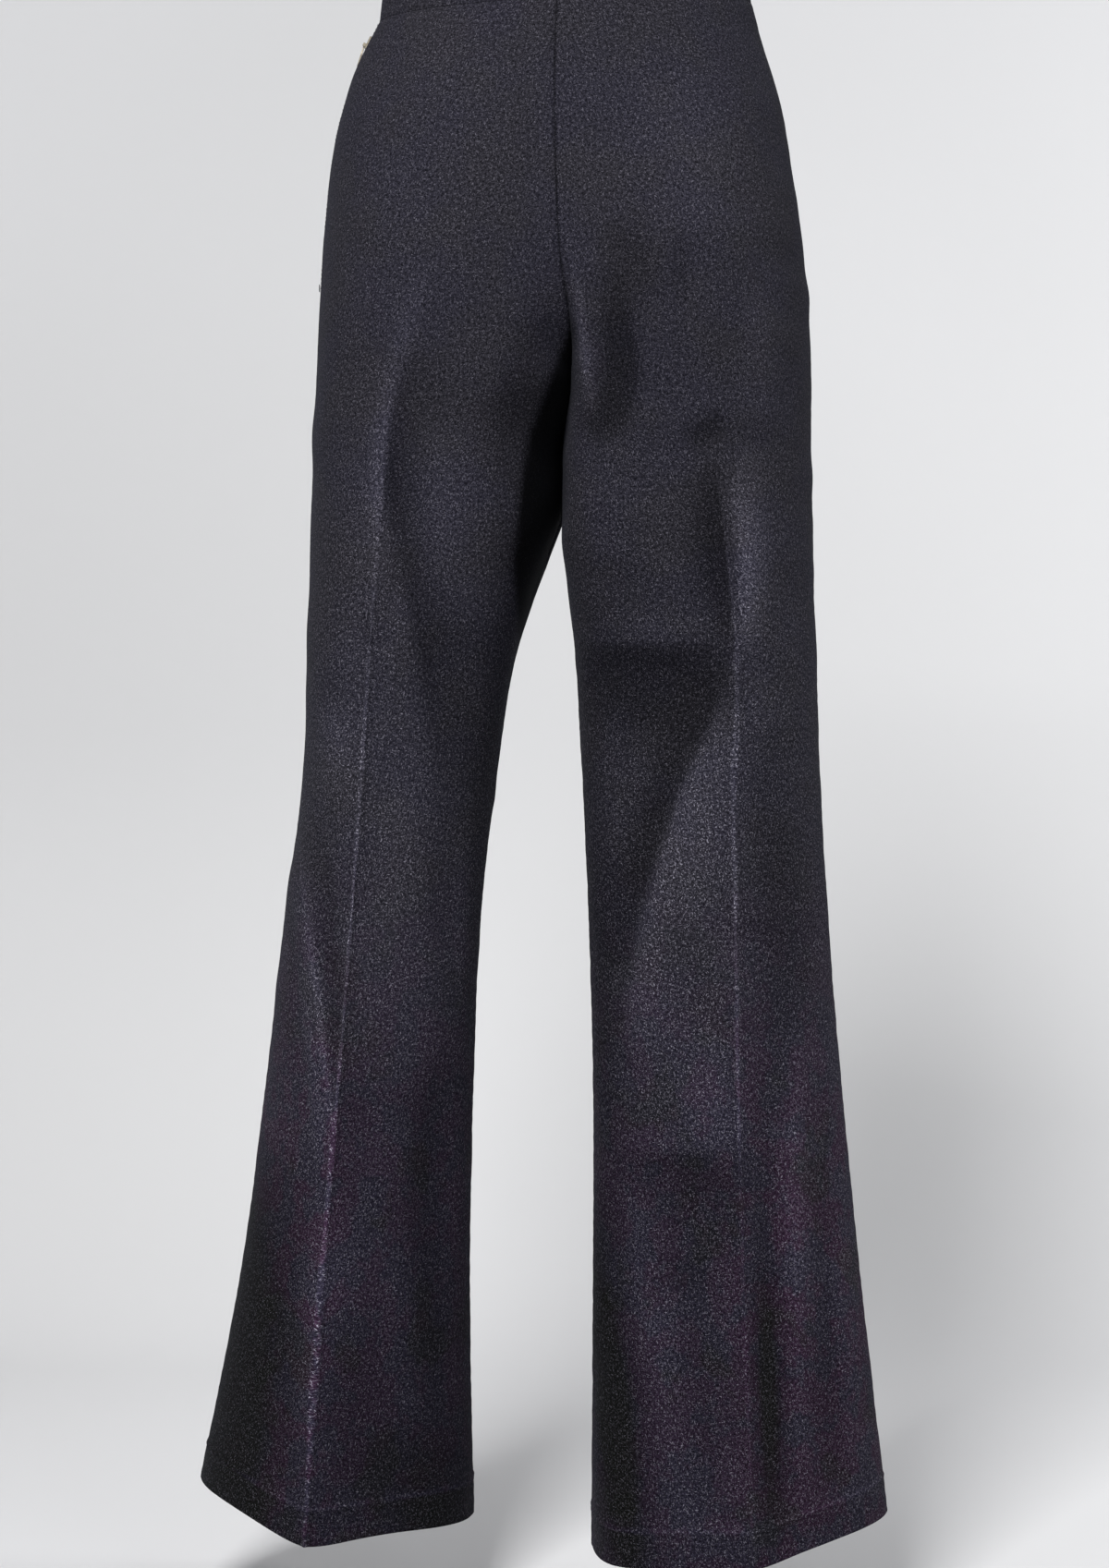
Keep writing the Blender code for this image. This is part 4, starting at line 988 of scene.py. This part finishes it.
def sewn_along(name, tree, lines, outs, size, look, turn=0.0, stagger=0.0, seed=1):
    """Stitches of one size laid by the nodes along lines of points in mm."""
    mesh = bpy.data.meshes.new(name + "_line")
    edges, start = [], 0
    for line in lines:
        edges += [(start + k, start + k + 1) for k in range(len(line) - 1)]
        start += len(line)
    mesh.from_pydata((np.concatenate(lines) * MM).tolist(), edges, [])
    ways = mesh.attributes.new("out", "FLOAT_VECTOR", "POINT")
    ways.data.foreach_set("vector", np.concatenate(outs).astype(np.float32).ravel())
    source = linked(name + "_line", mesh)
    layer = source.modifiers.new("stitches", "NODES")
    layer.node_group = tree
    spacing, length, thickness = size
    values = {"Spacing": spacing * MM, "Length": length * MM, "Thickness": thickness * MM,
              "Turn": math.radians(turn), "Stagger": stagger * MM, "Seed": seed, "Look": look}
    for socket in tree.interface.items_tree:
        if socket.name in values:
            layer[socket.identifier] = values[socket.name]
    shown = source.evaluated_get(bpy.context.evaluated_depsgraph_get())
    sewn = bpy.data.meshes.new_from_object(shown)
    source.modifiers.remove(layer)
    bpy.data.objects.remove(source)
    sewn.shade_smooth()
    return linked(name, sewn)


def object_place(tree):
    """Coordinates in the object's own space, in m."""
    return add_node(tree, "ShaderNodeTexCoord", {}, {}, 3)


def bumped(height, strength, distance):
    """A normal that a height stirs."""
    return height.make("ShaderNodeBump", {}, {"Strength": strength, "Distance": distance, "Height": height})


def mark(tree, name):
    """One of the cloth's marks."""
    return add_node(tree, "ShaderNodeAttribute", {"attribute_name": name}, {}, 2)


def split(vector, axis):
    """One axis of a vector: 0, 1 or 2."""
    return vector.make("ShaderNodeSeparateXYZ", {}, {0: vector}, axis)


def lying_fibres(cloth, angle, length, width, offset):
    """Streaky noise like short fibres lying one way, from coordinates in mm."""
    turned = cloth.make("ShaderNodeVectorRotate", {"rotation_type": "Z_AXIS"},
                        {"Vector": cloth.moved(offset, -offset), "Angle": math.radians(angle)})
    return turned.stretched(1 / length, 1 / width).noise(1.0, 1.0)


def wool_surface(tree):
    """Napped charcoal melange: pale short fibres over a dark ground that drifts in colour, with light and
    shade painted over it from the panels' marks.
    """
    cloth = add_node(tree, "ShaderNodeUVMap", {"uv_map": "cloth"}).stretched(1000, 1000)
    place = object_place(tree)
    # Painted light and shade of the panels, and their painted shadow between the thighs.
    relief, slot_shadow = mark(tree, "relief"), mark(tree, "slot_shadow")
    height = split(place, 2)
    layers = [lying_fibres(cloth, *fibre) for fibre in FIBRES]
    bright = layers[0]
    for layer in layers[1:]:
        bright = bright.math("MAXIMUM", layer)
    dim = layers[0] * 0.3 + layers[1] * 0.3 + layers[2] * 0.2 + layers[3] * 0.2
    fleck = bright.ramp(0.64, 0.78)
    grain = dim.ramp(0.39, 0.61)
    drift = place.noise(19.0, 3.0, 0.55)
    patch = place.moved(3.1, 7.7, 1.3).noise(34.0, 3.0, 0.6)
    low = height.ramp(-0.55, -0.85)
    seat = drift.ramp(0.36, 0.64).mixed((0.0276, 0.0262, 0.0335, 1), (0.0264, 0.0252, 0.0362, 1))
    ground = low.mixed(seat, (0.0262, 0.0245, 0.0405, 1))
    outward = split(cloth, 0).ramp(-25.0, 8.0, 0.65, 1.0)
    plum = (low * outward * patch.ramp(0.43, 0.55, 0.1, 1.0)).mixed(ground, (0.0370, 0.0195, 0.0385, 1))
    # Olive tint where the painted shade is deepest, standing in for the colour of shadow, and where the drift
    # is low.
    olive_in_shade_and_drift = (1 - relief.ramp(-6.2, -3.2)) * 0.9 + (1 - drift.ramp(0.38, 0.46)) * 0.5
    olive = (low * olive_in_shade_and_drift).mixed(plum, (0.0180, 0.0185, 0.0165, 1))
    toned = grain.mixed(olive.make("ShaderNodeMix", {"data_type": "RGBA", "blend_type": "MULTIPLY"},
                                   {0: 1.0, 6: olive, 7: (0.16, 0.16, 0.175, 1)}, 2), olive)
    flecked = (fleck * height.ramp(-0.20, -0.70, 0.37, 0.86)).mixed(toned, (0.235, 0.224, 0.268, 1))
    # Painted light and shade: the colour is scaled up on painted highlights and worn crease lines, down in
    # painted shade, and darkened in the slot between the thighs.
    wear_and_painted_light = relief.ramp(-6.0, 10.0, 0.50, 2.20) * (1 - 0.94 * slot_shadow)
    lit = flecked.make("ShaderNodeVectorMath", {"operation": "SCALE"}, {0: flecked, 3: wear_and_painted_light})
    twill = cloth.stretched(2 * math.pi / TWILL_PITCH, 2 * math.pi / TWILL_PITCH)
    weave = (split(twill, 0) + split(twill, 1)).math("SINE") * 0.10
    return {"Base Color": lit, "Normal": bumped(dim + fleck * 0.5 + weave, 0.55, 0.0005)}


def thread_surface(tree):
    place = object_place(tree)
    tone = place.noise(900.0, 1.0).ramp(0.35, 0.65)
    return {"Base Color": tone.mixed((0.010, 0.010, 0.013, 1), (0.030, 0.029, 0.036, 1))}


def tape_surface(tree):
    place = object_place(tree)
    rib = place.stretched(300.0, 300.0, 900.0).noise(1.0, 1.0)
    return {"Base Color": rib.mixed((0.012, 0.012, 0.015, 1), (0.024, 0.023, 0.029, 1)),
            "Normal": bumped(rib, 0.3, 0.0002)}


def horn_surface(tree):
    place = object_place(tree)
    streak = place.stretched(1.0, 0.35).noise(420.0, 4.0, 0.6)
    swirl = place.noise(130.0, 3.0)
    tone = (streak * 0.6 + swirl * 0.4).ramp(0.35, 0.68)
    return {"Base Color": tone.mixed((0.010, 0.009, 0.009, 1), (0.052, 0.040, 0.032, 1)),
            "Roughness": streak.ramp(0.3, 0.7, 0.28, 0.46), "Normal": bumped(streak, 0.25, 0.0002)}


def metal_surface(tree):
    place = object_place(tree)
    brushed = place.stretched(1.0, 1.0, 0.08).noise(2600.0, 2.0)
    stain = place.noise(330.0, 4.0, 0.6).ramp(0.35, 0.68)
    return {"Base Color": stain.mixed((0.30, 0.27, 0.21, 1), (0.14, 0.12, 0.095, 1)),
            "Roughness": stain * 0.22 + brushed * 0.14 + 0.26, "Normal": bumped(brushed, 0.2, 0.0001)}


def paper_surface(tree):
    place = object_place(tree)
    cloud = place.noise(0.9, 2.0).ramp(0.3, 0.7)
    return {"Base Color": cloud.mixed((0.655, 0.655, 0.66, 1), (0.70, 0.70, 0.71, 1))}


def seat_camera():
    """The photograph's view: a long lens level with the hips, tipped slightly down."""
    lens = bpy.data.cameras.new("camera")
    lens.lens = CAMERA_LENS
    lens.sensor_width = 36
    camera = bpy.data.objects.new("camera", lens)
    camera.location = CAMERA_PLACE
    camera.rotation_euler = (math.radians(90 - CAMERA_TIP), 0, 0)
    bpy.context.scene.collection.objects.link(camera)
    bpy.context.scene.camera = camera


def softbox(name, place, target, width, height, power, spread, colour):
    """A soft rectangular light aimed at a point."""
    light = bpy.data.lights.new(name, "AREA")
    light.shape = "RECTANGLE"
    light.size, light.size_y = width, height
    light.energy = power
    light.color = colour
    light.spread = math.radians(spread)
    lamp = bpy.data.objects.new(name, light)
    lamp.location = place
    lamp.rotation_euler = (Vector(target) - Vector(place)).to_track_quat("-Z", "Y").to_euler()
    bpy.context.scene.collection.objects.link(lamp)


def paper_sheet(name, outline, half_width, paper):
    """A sheet of paper that follows an outline of depths and heights."""
    bm = bmesh.new()
    rows = [[bm.verts.new((x, y, z)) for y, z in outline] for x in (-half_width, half_width)]
    for k in range(len(outline) - 1):
        bm.faces.new((rows[0][k], rows[1][k], rows[1][k + 1], rows[0][k + 1]))
    mesh = bpy.data.meshes.new(name)
    bm.to_mesh(mesh)
    bm.free()
    mesh.shade_smooth()
    mesh.materials.append(paper)
    linked(name, mesh)


def studio(paper):
    """A pale floor, a paper sweep behind the garment, and the lights."""
    bend_y, bend_z = SWEEP_BACK - SWEEP_BEND, FLOOR_LEVEL + SWEEP_BEND
    bend = [(bend_y + SWEEP_BEND * math.sin(a), bend_z - SWEEP_BEND * math.cos(a))
            for a in np.linspace(0, math.pi / 2, 17)]
    outline = [(SWEEP_FRONT, FLOOR_LEVEL), *bend, (SWEEP_BACK, SWEEP_TOP)]
    paper_sheet("paper_sweep", outline, SWEEP_HALF_WIDTH, paper)
    level = FLOOR_LEVEL - FLOOR_UNDER_SWEEP
    paper_sheet("paper_floor", [(-FLOOR_REACH, level), (FLOOR_REACH, level)], FLOOR_REACH, paper)
    for name, light in LIGHTS.items():
        softbox(name, *light)
    world = bpy.data.worlds.new("studio_air")
    world.use_nodes = True
    air = world.node_tree.nodes["Background"].inputs
    air["Color"].default_value = AIR_COLOUR
    air["Strength"].default_value = AIR_STRENGTH
    bpy.context.scene.world = world
    bpy.context.scene.view_settings.view_transform = "Standard"


def keep(item):
    """Declares a piece that goes with the garment."""
    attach(item, "root")


seat_camera()
paper = material("paper", {"Roughness": 0.9}, paper_surface)
studio(paper)

wool = material("wool", {"Roughness": 0.92, "Specular IOR Level": 0.04, "Sheen Weight": 0.02,
                         "Sheen Roughness": 0.45, "Sheen Tint": (0.62, 0.66, 0.80, 1)}, wool_surface)
thread = material("thread", {"Roughness": 0.6, "Specular IOR Level": 0.3}, thread_surface)
tape_weave = material("zip_tape", {"Roughness": 0.85, "Specular IOR Level": 0.2}, tape_surface)
horn = material("horn", {"Specular IOR Level": 0.5, "Coat Weight": 0.15, "Coat Roughness": 0.2}, horn_surface)
metal = material("zip_metal", {"Metallic": 1.0}, metal_surface)

heights = row_heights()
crotch = crotch_row(heights)
surfaces = {"left": leg_surface(LEFT_LEG, -1, heights), "right": leg_surface(RIGHT_LEG, 1, heights)}
panels, outsides, facings = {}, {}, {}
for side, out in (("left", -1), ("right", 1)):
    normals = joined_normals(surfaces[side], out, crotch)
    for half, facing in (("back", -1), ("front", 1)):
        name = f"{half}_{side}"
        facings[name] = normals[half]
        grid, normal = surfaces[side][half], normals[half]
        panels[name], outsides[name] = panel_mesh(name, grid, normal, out, facing, crotch)

band_path, band_out, band_sink, band_places = band_run(surfaces)
band = waistband(band_path, band_out, band_sink, band_places)

for item in [*panels.values(), band]:
    item.data.materials.append(wool)

stitches = stitch_tree()
for name, grid in outsides.items():
    line = above_hem(grid, HEM_DEPTH - HEM_STITCH_BELOW_EDGE)
    out = above_hem(facings[name], 0)
    keep(sewn_along(f"{name}_hem_stitches", stitches, [line], [out], HEM_STITCH, thread, seed=3))

seam = beside_seam(outsides["back_left"], 0, ZIP_TOP, ZIP_TOP - ZIP_LENGTH)
sideways = np.tile((-1.0, 0.0, 0.0), (len(seam), 1))
rows, outs = [], []
for name, turn in (("back_left", -TOP_STITCH_TURN), ("front_left", TOP_STITCH_TURN)):
    rows.append(beside_seam(outsides[name], TOP_STITCH_FROM_SEAM, ZIP_TOP + 9, ZIP_TOP - ZIP_LENGTH - 2))
    outs.append(np.tile((-0.97, turn, 0.0), (len(rows[-1]), 1)))
keep(sewn_along("zip_top_stitches", stitches, rows, outs, TOP_STITCH, thread, seed=5))
foot = seam[-1] - np.array([TACK_PROUD, 0, 0])
bar = foot + np.outer(np.linspace(-TACK_HALF, TACK_HALF, TACK_POINTS), (0, 1.0, 0))
keep(sewn_along("zip_bar_tack", stitches, [bar], [sideways[:TACK_POINTS]], TACK_STITCH, thread,
                turn=90, seed=9))
teeth_line = seam - np.array([TOOTH_PROUD, 0, 0])
keep(sewn_along("zip_teeth", stitches, [teeth_line], [sideways], TOOTH, metal,
                turn=90, stagger=TOOTH_STAGGER, seed=11))

seat = button_seat(band_path, band_out, band_places)
middle, along, up, out = seat
edge = along * np.linspace(*HOLE_ENDS, HOLE_POINTS)[:, None]
hole = [middle - out * HOLE_SUNK + edge + up * rise for rise in (-HOLE_HALF_WIDTH, HOLE_HALF_WIDTH)]
keep(sewn_along("buttonhole", stitches, hole, [np.tile(out, (HOLE_POINTS, 1))] * 2, HOLE_STITCH, thread,
                turn=90, seed=13))
tie = button_thread(seat)
tie.data.materials.append(thread)
keep(tie)

for name in ("back_left", "front_left"):
    tape = zip_tape(f"zip_tape_{name}", outsides[name], facings[name])
    tape.data.materials.append(tape_weave)
    keep(tape)

for name, look in (("waist_button", horn), ("zip_slider", metal), ("zip_pull", metal)):
    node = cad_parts[name]
    for slot in node.material_slots:
        slot.material = look

for name, item in panels.items():
    keep(item)
    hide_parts(name)
keep(band)
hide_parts("waistband")
